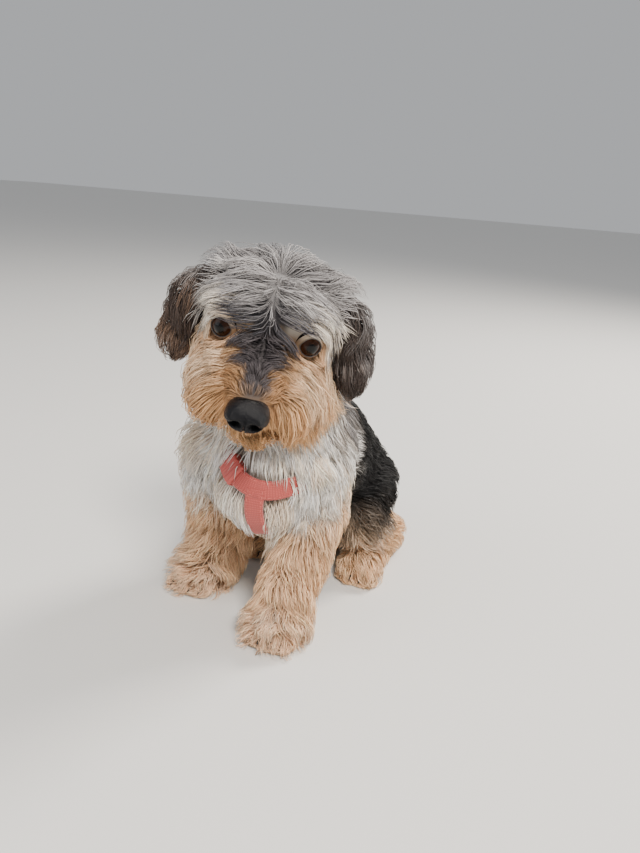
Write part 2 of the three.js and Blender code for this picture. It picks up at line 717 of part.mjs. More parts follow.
// Locks are drawn again where two of them only just touch.
const DRAWINGS = 8;
function addCoated(name, sides, clearOf, shape = (b) => b) {
  const chains = nodeChains[name];
  const toesHere = pawToes[name] ?? [];
  const core = shape(joined(chains.map((c) => tube(c, sides, share))));
  const wideCore = joined(chains.map((c) => tube(c, sides, share, GAP)));
  const withToes = (extra) => toesHere.map((toe) => toeBall(toe, extra));
  const laidBefore = laidLocks.length;
  for (let drawing = 0; drawing < DRAWINGS; drawing++) {
    laidLocks.length = laidBefore;
    const locks = locksOn(name, drawing);
    const bodies = [core, ...withToes(0), ...locks.slim];
    const wide = [wideCore, ...withToes(GAP), ...locks.wide];
    addNode(name, bodies, wide, clearOf, (body) => body.subtract(shapeCuts[name] ?? nothing));
    if (!hasTouchingFolds(made.get(name))) return;
  }
}

// The head: a clear cone before each eye, lids round it, lips and the line of the mouth
const eyeCone = (side) => {
  const cone = new THREE.ConeGeometry(24, 36, 14);
  cone.translate(0, -18, 0);
  cone.rotateX(Math.PI);
  cone.applyQuaternion(new THREE.Quaternion().setFromUnitVectors(vec(0, 1, 0), eyeAim(side)));
  const at = eyeAt(side).addScaledVector(eyeAim(side), -6);
  cone.translate(at.x, at.y, at.z);
  return solid(cone);
};
const LID = { over: 1.9, across: 7.6, high: 5.4, deep: 9, ahead: 8.5 };
const lidBall = (side) => {
  const r = EYE_RADIUS + LID.over;
  return ball(eyeAt(side), vec(r, r, r), headTurn, 10);
};
const lidOpening = (side) => {
  const at = eyeAt(side).addScaledVector(eyeAim(side), LID.ahead);
  return ball(at, vec(LID.across, LID.deep, LID.high), headTurn, 10);
};
const lipTube = (lift, radius) =>
  tube(
    lipLine.map((p) => station(p.clone().add(headwards(0.6, 0, lift)), radius, 0)),
    4,
    0,
  );
const nothing = joined([nostril(1)]).subtract(nostril(1));
const shapeCuts = {
  head: joined([lidOpening(1), lidOpening(-1), lipTube(0, 1.1)]),
  ear_left: ball(inHead(-20, 42, -16), vec(5, 7, 12), headTurn, 10),
  ear_right: ball(inHead(-20, -42, -16), vec(5, 7, 12), headTurn, 10),
};
const withFace = (core) => {
  const open = core.subtract(eyeCone(1)).subtract(eyeCone(-1));
  return joined([open, lidBall(1), lidBall(-1), lipTube(2, 1.8), lipTube(-2, 1.8)]);
};
addCoated("head", 9, ["eye_left", "eye_right", "nose", ...harness], withFace);
addCoated("ear_left", 8, ["head"]);
addCoated("ear_right", 8, ["head"]);
const upper = ["head", "ear_left", "ear_right", ...harness];
addCoated("neck", 11, upper);
addCoated("chest", 12, ["neck", ...upper]);
addCoated("rump", 12, ["chest", ...harness]);
for (const name of Object.keys(sidesOf)) {
  const other = name === "left" ? [] : ["foreleg_left", "forepaw_left"];
  addCoated("foreleg_" + name, 10, ["chest", "rump", "neck", ...upper, ...other]);
  addCoated("forepaw_" + name, 9, ["foreleg_" + name, "chest", "neck", ...upper, ...other]);
}
const forelegs = ["foreleg_left", "foreleg_right", "forepaw_left", "forepaw_right"];
for (const name of Object.keys(sidesOf)) {
  const near = ["chest", "rump", ...forelegs, ...harness];
  if (name === "right") near.push("thigh_left", "shank_left", "hindfoot_left");
  addCoated("thigh_" + name, 10, near);
  addCoated("shank_" + name, 8, [...near, "thigh_" + name]);
  addCoated("hindfoot_" + name, 8, [...near, "thigh_" + name, "shank_" + name]);
}
addCoated("tail", 8, ["rump", "thigh_left", "thigh_right", "shank_left", "shank_right"]);

// Colours, roughness and the group
const LOOKS = {
  eye: [0x1a0f0a, 0.1],
  nose: [0x151416, 0.35],
  head: [0x9a8f86, 0.9],
  ear: [0x54463d, 0.9],
  neck: [0xd9cdbf, 0.9],
  chest: [0x1d1a1b, 0.85],
  rump: [0x1d1a1b, 0.85],
  foreleg: [0xd2b08a, 0.9],
  forepaw: [0xdcc0a0, 0.9],
  thigh: [0x2a2524, 0.85],
  shank: [0xb98f66, 0.9],
  hindfoot: [0xc9a279, 0.9],
  tail: [0x262122, 0.85],
  harness: [0xc0504c, 0.7],
};
const terrier = new THREE.Group();
const bounds = new THREE.Box3();
for (const body of made.values()) {
  const { min, max } = body.boundingBox();
  bounds.expandByPoint(vec(...min)).expandByPoint(vec(...max));
}
const middle = bounds.getCenter(vec(0, 0, 0));
for (const [name, body] of made) {
  const [color, roughness] = LOOKS[name.split("_")[0]];
  const material = new THREE.MeshStandardMaterial({ color, roughness, metalness: 0 });
  const mesh = new THREE.Mesh(geometryOf(body), material);
  mesh.name = name;
  terrier.add(mesh);
}
terrier.position.set(-middle.x, -middle.y, -bounds.min.z);

export default terrier;
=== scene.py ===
# A small terrier with a shaggy clipped coat, sitting in a webbing harness. Millimetres inside, metres in Blender.
import math

import bmesh
import bpy
import numpy as np
from mathutils import Matrix, Vector


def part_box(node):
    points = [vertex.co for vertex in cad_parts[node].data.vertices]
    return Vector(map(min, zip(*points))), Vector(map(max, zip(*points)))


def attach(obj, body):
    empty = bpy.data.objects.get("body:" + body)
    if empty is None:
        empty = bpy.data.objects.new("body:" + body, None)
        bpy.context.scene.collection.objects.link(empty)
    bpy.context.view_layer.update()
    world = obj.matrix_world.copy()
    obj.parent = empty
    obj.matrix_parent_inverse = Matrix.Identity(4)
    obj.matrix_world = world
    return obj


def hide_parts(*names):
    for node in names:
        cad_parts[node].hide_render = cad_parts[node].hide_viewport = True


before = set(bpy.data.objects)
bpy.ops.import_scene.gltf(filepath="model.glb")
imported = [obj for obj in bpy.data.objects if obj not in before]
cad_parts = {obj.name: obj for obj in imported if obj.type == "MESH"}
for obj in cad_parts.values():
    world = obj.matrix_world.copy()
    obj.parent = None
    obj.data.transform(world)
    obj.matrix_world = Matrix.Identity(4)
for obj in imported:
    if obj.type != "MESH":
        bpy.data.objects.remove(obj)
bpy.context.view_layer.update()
rng = np.random.default_rng(7)

# The head's own frame: f forward, l to its left, u up, from the point between the eyes
head = {
    "brow": (8, -66, 188), "turn": 22, "drop": 10, "tilt": 9,
    "eyeSpacing": 43, "eyeBack": 4.5, "eyeRadius": 8.5, "eyeLook": (24, 11, -1),
}
headTurn = np.array(
    Matrix.Rotation(math.radians(head["turn"]), 3, "Z")
    @ Matrix.Rotation(math.radians(head["drop"]), 3, "X")
    @ Matrix.Rotation(math.radians(head["tilt"]), 3, "Y")
)


def headwards(f, l, u):
    return headTurn @ np.array([l, -f, u], float)


def inHead(f, l, u):
    return headwards(f, l, u) + np.array(head["brow"], float)


def asHead(points):
    q = (points - np.array(head["brow"], float)) @ headTurn
    return -q[:, 1], q[:, 0], q[:, 2]


def eyeCentre(side):
    return inHead(-head["eyeBack"], side * head["eyeSpacing"] / 2, 0)


def eyeAim(side):
    forward, out, up = head["eyeLook"]
    aim = headwards(forward, side * out, up)
    return aim / np.linalg.norm(aim)


# The body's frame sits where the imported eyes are.
packedEyes = [(np.array(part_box(n)[0]) + np.array(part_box(n)[1])) / 2 for n in ("eye_left", "eye_right")]
shift = sum(packedEyes) / 2 * 1000 - (eyeCentre(1) + eyeCentre(-1)) / 2
shift[2] = 0
print("shift of the body's frame, mm:", shift.round(2))


def toWorld(points):
    return (np.asarray(points, float) + shift) / 1000


# Camera
camera = {"at": (175, -393, 262), "azimuth": 22, "pitch": 18.5, "roll": 4.5, "focalPixels": 694, "longSide": 853}


def makeCamera():
    azimuth = math.radians(camera["azimuth"])
    pitch = math.radians(camera["pitch"])
    roll = math.radians(camera["roll"])
    right = Vector((math.cos(azimuth), math.sin(azimuth), 0))
    level = Vector((-math.sin(azimuth), math.cos(azimuth), 0))
    ahead = level * math.cos(pitch) - Vector((0, 0, 1)) * math.sin(pitch)
    up = right.cross(ahead)
    rightRolled = right * math.cos(roll) + up * math.sin(roll)
    upRolled = up * math.cos(roll) - right * math.sin(roll)
    data = bpy.data.cameras.new("camera")
    data.sensor_width = 36
    data.lens = camera["focalPixels"] / camera["longSide"] * data.sensor_width
    made = bpy.data.objects.new("camera", data)
    turn = Matrix((rightRolled, upRolled, -ahead)).transposed().to_4x4()
    made.matrix_world = Matrix.Translation(Vector(toWorld(camera["at"]))) @ turn
    bpy.context.collection.objects.link(made)
    bpy.context.scene.camera = made


makeCamera()
print("camera done")

# Body: chains of stations, each x, y, z, skin radius and coat depth
coat = {"crown": 17, "cheek": 18, "muzzle": 7, "ruff": 16, "back": 12, "leg": 13, "foot": 10, "tail": 13}
coreShare = 0.45


def headChain(*stations):
    return [(*inHead(*station[:3]), *station[3:]) for station in stations]


def cheekChain(side):
    return headChain(
        (-22, side * 17, -14, 16, coat["cheek"]),
        (-2, side * 16, -22, 13, coat["cheek"] + 4),
        (18, side * 12, -28, 9, coat["cheek"] + 6),
    )


def orbitChain(side):
    return headChain((-22, side * 14, 0, 14, 8), (-9, side * 19, 0, 12, 5))


def earChain(side):
    return headChain((-36, side * 36, 15, 6, 10), (-31, side * 48, 3, 6, 11), (-27, side * 52, -25, 4, 11))


def hindChains(side, ahead):
    hip = 27
    return {
        "thigh": [
            (side * (hip - 5), 84, 52, 20, coat["leg"] - 3),
            (side * (hip - 1), 62, 50, 19, coat["leg"] - 3),
            (side * (hip + 6), 38 - ahead, 42, 14, coat["leg"] - 3),
        ],
        "shank": [
            (side * (hip + 8), 42 - ahead, 36, 12, coat["leg"] - 4),
            (side * (hip + 13), 66, 24, 11, coat["leg"] - 4),
            (side * (hip + 17), 91, 14, 9, coat["foot"] - 3),
        ],
        "hindfoot": [
            (side * (hip + 17), 84, 10, 8, coat["foot"] - 3),
            (side * (hip + 16), 60 - ahead, 9, 8, coat["foot"] - 3),
            (side * (hip + 14), 36 - ahead, 9, 10, coat["foot"] - 3),
        ],
    }


def toeChains(x, y, leanX):
    made = []
    for place in (-1.5, -0.5, 0.5, 1.5):
        ahead = 8 - abs(place)
        root = (x + place * 6.6 + leanX * (ahead - 6), y - ahead + 6, 6.2, 4.2, 4)
        tip = (x + place * 7.2 + leanX * (ahead + 3), y - ahead - 3, 5, 3.6, 4)
        made.append([root, tip])
    return made


shoulder = 24
hindLeft = hindChains(1, 0)
hindRight = hindChains(-1, 4)
toePlaces = {
    "forepaw_left": (shoulder - 3, -61, 0.05),
    "forepaw_right": (-shoulder - 27, -33, -0.15),
    "hindfoot_left": (41, 36, 0.15),
    "hindfoot_right": (-41, 32, -0.15),
}
chainsOf = {
    "skull": [
        headChain((-48, 0, -4, 21, coat["crown"]), (-34, 0, 3, 28, coat["crown"]), (-15, 0, 4, 22, coat["crown"] - 4)),
        orbitChain(1),
        orbitChain(-1),
    ],
    "muzzle": [
        headChain(
            (-10, 0, -9, 18, coat["muzzle"]),
            (14, 0, -17, 13.5, coat["muzzle"]),
            (34, 0, -22.5, 10, coat["muzzle"] / 2),
        ),
    ],
    "jaw": [
        headChain((-16, 0, -25, 14, coat["ruff"]), (8, 0, -30, 10, coat["ruff"]), (25, 0, -34, 7, coat["ruff"])),
    ],
    "cheek": [cheekChain(1), cheekChain(-1)],
    "ear": [earChain(1), earChain(-1)],
    "neck": [
        [(0, -22, 126, 26, coat["ruff"]), (-2, -30, 147, 25, coat["ruff"]), (-4, -37, 168, 23, coat["ruff"])],
    ],
    "chest": [
        [
            (0, -40, 92, 22, coat["ruff"] - 1),
            (0, -26, 100, 30, coat["ruff"] - 3),
            (0, 0, 106, 31, coat["back"]),
            (1, 26, 95, 31, coat["back"]),
        ],
    ],
    "rump": [
        [
            (1, 26, 95, 31, coat["back"]),
            (1, 62, 70, 31, coat["back"]),
            (1, 88, 45, 31, coat["back"]),
            (1, 104, 29, 24, coat["back"] - 2),
        ],
    ],
    "foreleg": [
        [
            (shoulder - 2, -24, 100, 16, coat["leg"]),
            (shoulder, -19, 75, 13, coat["leg"]),
            (shoulder - 1, -33, 46, 10.5, coat["leg"]),
            (shoulder - 3, -49, 25, 9.5, coat["leg"]),
        ],
        [
            (-shoulder - 10, -26, 102, 17, coat["ruff"] + 6),
            (-shoulder - 16, -17, 76, 13, coat["leg"] + 7),
            (-shoulder - 19, -15, 46, 10.5, coat["leg"] + 4),
            (-shoulder - 22, -19, 25, 9.5, coat["leg"] + 3),
        ],
    ],
    "forepaw": [
        [(shoulder - 3, -49, 13, 10, coat["foot"] + 3), (shoulder - 3, -56, 9, 10, coat["foot"] + 3)],
        [(-shoulder - 25, -20, 13, 10, coat["foot"] + 3), (-shoulder - 27, -28, 9, 10, coat["foot"] + 3)],
        *toeChains(*toePlaces["forepaw_left"]),
        *toeChains(*toePlaces["forepaw_right"]),
    ],
    "thigh": [hindLeft["thigh"], hindRight["thigh"]],
    "shank": [hindLeft["shank"], hindRight["shank"]],
    "hindfoot": [
        hindLeft["hindfoot"],
        hindRight["hindfoot"],
        *toeChains(*toePlaces["hindfoot_left"]),
        *toeChains(*toePlaces["hindfoot_right"]),
    ],
    "tail": [
        [
            (1, 112, 34, 8, coat["tail"]),
            (3, 130, 18, 6, coat["tail"]),
            (8, 146, 10, 4.5, coat["tail"] - 3),
            (15, 158, 8, 3, coat["tail"] - 5),
        ],
    ],
}
kinds = list(chainsOf)


def smoothChain(stations, steps=3):
    # Catmull-Rom through the stations
    s = np.array(stations, float)
    padded = np.vstack([2 * s[0] - s[1], s, 2 * s[-1] - s[-2]])
    made = []
    for i in range(len(s) - 1):
        p0, p1, p2, p3 = padded[i : i + 4]
        for k in range(steps):
            t = k / steps
            curve = 0.5 * (
                2 * p1
                + (p2 - p0) * t
                + (2 * p0 - 5 * p1 + 4 * p2 - p3) * t**2
                + (3 * p1 - p0 - 3 * p2 + p3) * t**3
            )
            linear = p1 + (p2 - p1) * t
            made.append([*curve[:3], *linear[3:]])
    made.append(list(s[-1]))
    return np.array(made)


def chainDistance(points, chain, share):
    nearest = np.full(len(points), 1e9, np.float32)
    depth = np.zeros(len(points), np.float32)
    for a, b in zip(chain[:-1], chain[1:]):
        line = b[:3] - a[:3]
        t = np.clip((points - a[:3]) @ line / (line @ line), 0, 1)
        gap = np.linalg.norm(points - a[:3] - t[:, None] * line, axis=1)
        gap -= (a[3] + a[4] * share) * (1 - t) + (b[3] + b[4] * share) * t
        closer = gap < nearest
        nearest = np.where(closer, gap, nearest)
        depth = np.where(closer, a[4] * (1 - t) + b[4] * t, depth)
    return nearest, depth


def blended(distances, softness):
    least = distances.min(axis=0)
    return least - softness * np.log(np.exp((least - distances) / softness).sum(axis=0))


smoothChains = {kind: [smoothChain(c) for c in chainsOf[kind]] for kind in kinds}


# Distance to the skin, kept on a grid so that every hair can read it
class Field:
    step = 2.5
    softness = 2.0
    low = np.array([-115.0, -165.0, -25.0])
    high = np.array([115.0, 205.0, 275.0])

    def __init__(self):
        counts = np.ceil((self.high - self.low) / self.step).astype(int) + 1
        axes = [self.low[i] + self.step * np.arange(counts[i]) for i in range(3)]
        grid = np.stack(np.meshgrid(*axes, indexing="ij"), -1).reshape(-1, 3).astype(np.float32)
        every = [chainDistance(grid, c, 0)[0] for kind in kinds for c in smoothChains[kind]]
        self.shape = tuple(counts)
        self.value = blended(np.array(every), self.softness).reshape(self.shape)
        self.slope = np.stack(np.gradient(self.value, self.step), -1)

    def read(self, points, values):
        place = (points - self.low) / self.step
        cell = np.clip(np.floor(place).astype(int), 0, np.array(self.shape) - 2)
        part = np.clip(place - cell, 0, 1)
        total = 0
        for corner in range(8):
            pick = np.array([corner >> 2 & 1, corner >> 1 & 1, corner & 1])
            weight = np.prod(np.where(pick, part, 1 - part), axis=1)
            i, j, k = (cell + pick).T
            read = values[i, j, k]
            total = total + (read * weight[:, None] if read.ndim > 1 else read * weight)
        return total

    def height(self, points):
        return self.read(points, self.value)

    def outward(self, points):
        out = self.read(points, self.slope)
        return out / np.maximum(np.linalg.norm(out, axis=1, keepdims=True), 1e-6)


field = Field()
print("skin field done", field.shape)


def linkMesh(name, points, faces):
    mesh = bpy.data.meshes.new(name)
    mesh.from_pydata([tuple(p) for p in toWorld(points)], [], faces)
    mesh.update()
    made = bpy.data.objects.new(name, mesh)
    bpy.context.collection.objects.link(made)
    mesh.shade_smooth()
    return made


def ringFaces(rings, sides, base=0, closed=False):
    # four-sided faces between rings of points that follow each other
    made = []
    for i in range(rings if closed else rings - 1):
        here, after = base + i * sides, base + (i + 1) % rings * sides
        for k in range(sides):
            n = (k + 1) % sides
            made.append((here + k, here + n, after + n, after + k))
    return made


def endFaces(rings, sides, base=0):
    first = tuple(base + k for k in range(sides))[::-1]
    return [first, tuple(base + (rings - 1) * sides + k for k in range(sides))]


def ballFaces(rings, sides):
    # rings between a front and a back point, which come last
    made = [(a, d, c, b) for a, b, c, d in ringFaces(rings - 1, sides)]
    front = (rings - 1) * sides
    last = front - sides
    for k in range(sides):
        n = (k + 1) % sides
        made += [(front, k, n), (front + 1, last + n, last + k)]
    return made


def readAll(items, field, width, kind=float):
    values = np.empty(len(items) * width, kind)
    items.foreach_get(field, values)
    return values.reshape(-1, width)


def paintPoints(mesh, name, colours):
    shown = np.ones((len(mesh.vertices), 4), np.float32)
    shown[:, :3] = colours
    mesh.color_attributes.new(name, "FLOAT_COLOR", "POINT").data.foreach_set("color", shown.ravel())


# Skin: balls along every chain, remeshed into one surface
skinSizes = {
    "voxel": 0.0016, "ballSpacing": 2.0, "smoothing": 6, "smoothShare": 0.6, "lowest": 0.0004, "earShare": 0.8,
}


def makeSkin():
    balls = []
    for kind in kinds:
        share = skinSizes["earShare"] if kind == "ear" else 1
        for stations in chainsOf[kind]:
            chain = smoothChain(stations, 5)
            for a, b in zip(chain[:-1], chain[1:]):
                count = max(1, int(np.linalg.norm(b[:3] - a[:3]) / skinSizes["ballSpacing"]))
                balls += [(a + (b - a) * k / count, share) for k in range(count)]
            balls.append((chain[-1], 1))
    build = bmesh.new()
    for s, share in balls:
        place = Matrix.Translation(Vector(toWorld(s[:3])))
        bmesh.ops.create_icosphere(build, subdivisions=2, radius=s[3] * share / 1000, matrix=place)
    mesh = bpy.data.meshes.new("skin")
    build.to_mesh(mesh)
    build.free()
    made = bpy.data.objects.new("skin", mesh)
    bpy.context.collection.objects.link(made)
    bpy.context.view_layer.objects.active = made
    made.select_set(True)
    remesh = made.modifiers.new("remesh", "REMESH")
    remesh.mode = "VOXEL"
    remesh.voxel_size = skinSizes["voxel"]
    smooth = made.modifiers.new("smooth", "SMOOTH")
    smooth.iterations = skinSizes["smoothing"]
    smooth.factor = skinSizes["smoothShare"]
    bpy.ops.object.modifier_apply(modifier="remesh")
    bpy.ops.object.modifier_apply(modifier="smooth")
    for v in made.data.vertices:
        if v.co.z < skinSizes["lowest"]:
            v.co.z = skinSizes["lowest"]
    bpy.ops.object.mode_set(mode="EDIT")
    bpy.ops.mesh.select_all(action="SELECT")
    bpy.ops.uv.smart_project(angle_limit=math.radians(66), island_margin=0.004)
    bpy.ops.object.mode_set(mode="OBJECT")
    made.data.uv_layers[0].name = "OFBake"
    made.data.shade_smooth()
    made.select_set(False)
    return made


skin = makeSkin()
print("skin done", len(skin.data.polygons))

# Markings
tones = {
    "steel": (176, 172, 172),
    "silver": (232, 227, 223),
    "browWhite": (250, 240, 226),
    "darkSteel": (78, 76, 82),
    "cream": (248, 222, 192),
    "gold": (226, 178, 128),
    "brown": (148, 102, 66),
    "eyeTan": (206, 156, 112),
    "black": (15, 14, 16),
    "white": (255, 251, 246),
    "legTan": (248, 200, 150),
    "footTan": (252, 208, 168),
    "ear": (70, 60, 56),
    "earTan": (146, 118, 98),
}


def linear(tone):
    c = np.array(tones[tone], float) / 255
    return np.where(c <= 0.04045, c / 12.92, ((c + 0.055) / 1.055) ** 2.4)


def step(x, low, high):
    t = np.clip((x - low) / (high - low), 0, 1)
    return t * t * (3 - 2 * t)


def wander(points, scale, seed):
    # smooth noise from a few waves, about -1 to 1
    draw = np.random.default_rng(seed)
    total = np.zeros(len(points))
    for _ in range(7):
        way = draw.normal(size=3)
        way *= draw.uniform(0.6, 1.6) / scale / np.linalg.norm(way)
        total += np.sin(points @ way * 2 * np.pi + draw.uniform(0, 2 * np.pi))
    return total / 3


def mix(colour, tone, weight):
    return colour * (1 - weight[:, None]) + linear(tone) * weight[:, None]


def layered(base, count, layers):
    # tones laid over each other, each with its own weight at every point
    colour = np.tile(linear(base), (count, 1))
    for tone, weight in layers:
        colour = mix(colour, tone, weight)
    return colour


def bodyTones(p, n, fine, w):
    y, z = p.T[1:]
    saddle = step(y + fine * 5 + n * 4, -16, -2) * step(z + fine * 4, 34, 52)
    trunk = np.clip(w["chest"] + w["rump"] + w["thigh"] + w["neck"] * 0.6, 0, 1)
    legs = np.clip(w["foreleg"] * step(108 + n * 6 - z, 0, 30) + w["shank"] + w["hindfoot"], 0, 1)
    rear = step(y + fine * 5, 88, 104) * w["rump"] * (1 - saddle)
    return [
        ("cream", step(n + fine * 0.5, -0.6, 1.2) * 0.7),
        ("black", saddle * trunk),
        ("legTan", legs * 0.85),
        ("cream", w["chest"] * (1 - saddle) * step(-z + n * 4, -92, -70) * 0.7),
        ("gold", w["shank"] * 0.5 + w["thigh"] * (1 - saddle) * 0.6),
        ("footTan", w["forepaw"] * 0.9),
        ("gold", rear * 0.8),
        ("darkSteel", w["tail"] * 0.95),
        ("black", w["tail"] * step(fine + n + (z - 14) * 0.12, -0.6, 0.6)),
    ]


def faceTones(p, n, fine):
    f, l, u = asHead(p)
    across = np.abs(l)
    crown = np.maximum(step(u + fine * 3 + step(-f, 10, 30) * 20, 4, 17), step(-f + fine * 3, 30, 42))
    brow = step(f, -22, -10) * step(across, 6, 11) * step(35 - across, 0, 8)
    brow = brow * step(u + fine * 2, 4, 8) * step(26 - u, 0, 9)
    nearEye = [np.linalg.norm(p - eyeCentre(side), axis=1) for side in (1, -1)]
    strip = step(12 - np.clip(f, 0, 30) * 0.14 - across + fine * 1.5, 0, 5)
    strip = strip * step(f, -28, -12) * step(u, -24, -14) * step(24 - u, 0, 12)
    flank = step(16 - across, 0, 6) * step(across, 3, 8) * step(f, 20, 30) * step(u, -30, -22)
    return [
        ("cream", step(u + n * 4, -26, -8) * step(across, 6, 16) * 0.85),
        ("brown", step(-u - across * 0.25 + fine * 3, 27, 37) * step(f, 16, 32) * 0.45),
        ("cream", step(-u + n * 4, 46, 62) * 0.5),
        ("steel", crown),
        ("silver", crown * step(fine * 0.8 - n * 0.5, 0.0, 1.0) * 0.5),
        ("darkSteel", crown * step(fine + n * 0.6, 0.0, 1.2) * 0.6),
        ("darkSteel", step(-f + n * 5, 44, 66) * 0.7),
        ("browWhite", brow * 0.9),
        *[("eyeTan", step(16 - near, 0, 5) * step(6 - u, 0, 6) * 0.6) for near in nearEye],
        ("darkSteel", strip * 0.97),
        ("brown", flank * 0.55),
    ]


def markings(p, weights):
    u = asHead(p)[2]
    n = wander(p, 26, 3)
    fine = wander(p, 11, 4)
    w = dict(zip(kinds, weights))
    colour = layered("white", len(p), bodyTones(p, n, fine, w))
    face = layered("gold", len(p), faceTones(p, n, fine))
    headPart = np.clip(w["skull"] + w["muzzle"] + w["jaw"] + w["cheek"], 0, 1)[:, None]
    colour = colour * (1 - headPart) + face * headPart
    earLayers = [("earTan", step(fine + n - u * 0.03, 0.2, 1.4) * 0.6), ("steel", step(fine - n, 0.4, 1.4) * 0.45)]
    earPart = w["ear"][:, None]
    colour = colour * (1 - earPart) + layered("ear", len(p), earLayers) * earPart
    nape = w["neck"] * step(p[:, 1] + fine * 4, -34, -16)
    return np.clip(mix(colour, "darkSteel", nape * 0.8), 0, 1)


# Which way the hair lies
def unit(v):
    return v / np.maximum(np.linalg.norm(v, axis=1, keepdims=True), 1e-6)


def column(*values):
    return np.stack(np.broadcast_arrays(*[np.asarray(v, float) for v in values]), -1)


def hairLie(p, weights):
    f, l, u = asHead(p)
    side = np.clip(l / 6, -1, 1)
    face = step(f, -18, 2)
    low = step(-u, -6, 14)
    toFace = np.maximum(face * 0.8, low)[:, None]
    crownWay = column(side, np.where(f > -20, -0.1, 0.7), -0.45)
    muzzleWay = column(side * (0.95 - 0.4 * low), 0.15, -0.45 - 0.6 * low)
    headWay = crownWay * (1 - toFace) + muzzleWay * toFace
    fan = (step(f, 20, 30) * step(u, -24, -16))[:, None]
    headWay = (headWay * (1 - fan) + column(side * 0.6, 0.9, 0.25) * fan) @ headTurn.T
    x, y = p.T[:2]
    ahead = y < -30
    shoulders = np.where(x > 0, 0.14, -0.35) + (x - np.where(x > 0, 22, -40)) * 0.015
    ways = {
        "skull": headWay,
        "muzzle": headWay,
        "jaw": headWay * 0.4 + column(np.sign(x) * 0.1, -0.1, -1.0),
        "cheek": headWay,
        "ear": column(side * 0.1, 0.05, -1.0),
        "neck": column(x * 0.02, np.where(y > -30, 0.4, -0.25), -1.0),
        "chest": column(x * np.where(x < 0, 0.02, 0.008), np.where(ahead, -0.1, 0.75), np.where(ahead, -1, -0.6)),
        "rump": column(x * 0.003, 0.8, -0.6),
        "foreleg": column(shoulders, -0.12, -1.0),
        "forepaw": column((x - np.where(x > 0, 21, -45)) * 0.05, -0.8, -0.5),
        "thigh": column(x * 0.002, 0.45, -1.0),
        "shank": column(x * 0.004, 0.8, -0.6),
        "hindfoot": column(np.sign(x) * 0.35, -0.6, -0.5),
        "tail": column(0.15 + 0 * x, 0.9, -0.4),
    }
    return unit(sum(weights[i][:, None] * unit(ways[kind]) for i, kind in enumerate(kinds)))


# Coat pieces: kinds of body part, rows in a hair, hairs per square centimetre, length and half width in mm,
# wave and spacing of the clumps
coatPieces = {
    "coat_crown": {
        "kinds": ["skull"], "slot": "coat_head", "rows": 4,
        "dense": 104, "length": 35, "wide": 0.25, "wave": 0.6, "clump": 6.0,
    },
    "coat_muzzle": {
        "kinds": ["muzzle"], "slot": "coat_head", "rows": 3,
        "dense": 150, "length": 15, "wide": 0.2, "wave": 0.4, "clump": 3.4,
    },
    "coat_cheeks": {
        "kinds": ["cheek"], "slot": "coat_head", "rows": 4,
        "dense": 150, "length": 36, "wide": 0.24, "wave": 0.7, "clump": 5.0,
    },
    "coat_beard": {
        "kinds": ["jaw"], "slot": "coat_head", "rows": 4,
        "dense": 150, "length": 28, "wide": 0.24, "wave": 0.8, "clump": 5.0,
    },
    "coat_ears": {
        "kinds": ["ear"], "slot": "coat_ear", "rows": 4,
        "dense": 170, "length": 21, "wide": 0.24, "wave": 0.8, "clump": 4.0,
    },
    "coat_neck": {
        "kinds": ["neck"], "slot": "coat_cream", "rows": 4,
        "dense": 80, "length": 36, "wide": 0.28, "wave": 1.2, "clump": 6,
    },
    "coat_chest": {
        "kinds": ["chest"], "slot": "coat_cream", "rows": 4,
        "dense": 76, "length": 33, "wide": 0.29, "wave": 1.2, "clump": 6,
    },
    "coat_back": {
        "kinds": ["rump"], "slot": "coat_saddle", "rows": 4,
        "dense": 47, "length": 34, "wide": 0.34, "wave": 0.9, "clump": 6,
    },
    "coat_forelegs": {
        "kinds": ["foreleg"], "slot": "coat_tan", "rows": 4,
        "dense": 85, "length": 27, "wide": 0.27, "wave": 2.4, "clump": 5.0,
    },
    "coat_forepaws": {
        "kinds": ["forepaw"], "slot": "coat_tan", "rows": 3,
        "dense": 130, "length": 18, "wide": 0.25, "wave": 2.2, "clump": 4,
    },
    "coat_thighs": {
        "kinds": ["thigh"], "slot": "coat_saddle", "rows": 3,
        "dense": 48, "length": 27, "wide": 0.32, "wave": 1.2, "clump": 5.5,
    },
    "coat_hindfeet": {
        "kinds": ["shank", "hindfoot"], "slot": "coat_tan", "rows": 3,
        "dense": 56, "length": 18, "wide": 0.3, "wave": 1.8, "clump": 5,
    },
    "coat_tail": {
        "kinds": ["tail"], "slot": "coat_saddle", "rows": 3,
        "dense": 90, "length": 27, "wide": 0.3, "wave": 1.2, "clump": 5,
    },
}
hair = {"rootDepth": 1.2, "sides": 3, "patch": 0.003, "pieceLimit": 190000, "clumpPull": 0.5, "tipSpread": 0.16}
clear = {  # how far hair keeps from the floor, the straps and the eyes
    "floorRoot": 2.5, "floorRow": 0.8, "floorTip": 0.7, "strap": 5.3, "hiddenStrap": 11.5, "eyeRoot": 7.0, "eye": 6.4,
}


def skinTriangles():
    mesh = skin.data
    mesh.calc_loop_triangles()
    corners = readAll(mesh.loop_triangles, "vertices", 3, int)
    loops = readAll(mesh.loop_triangles, "loops", 3, int)
    points = readAll(mesh.vertices, "co", 3) * 1000 - shift
    uvs = readAll(mesh.uv_layers["OFBake"].data, "uv", 2)
    return points[corners], uvs[loops]


triangles, triangleUvs = skinTriangles()
edges = triangles[:, 1:] - triangles[:, :1]
areas = np.linalg.norm(np.cross(edges[:, 0], edges[:, 1]), axis=1) / 2


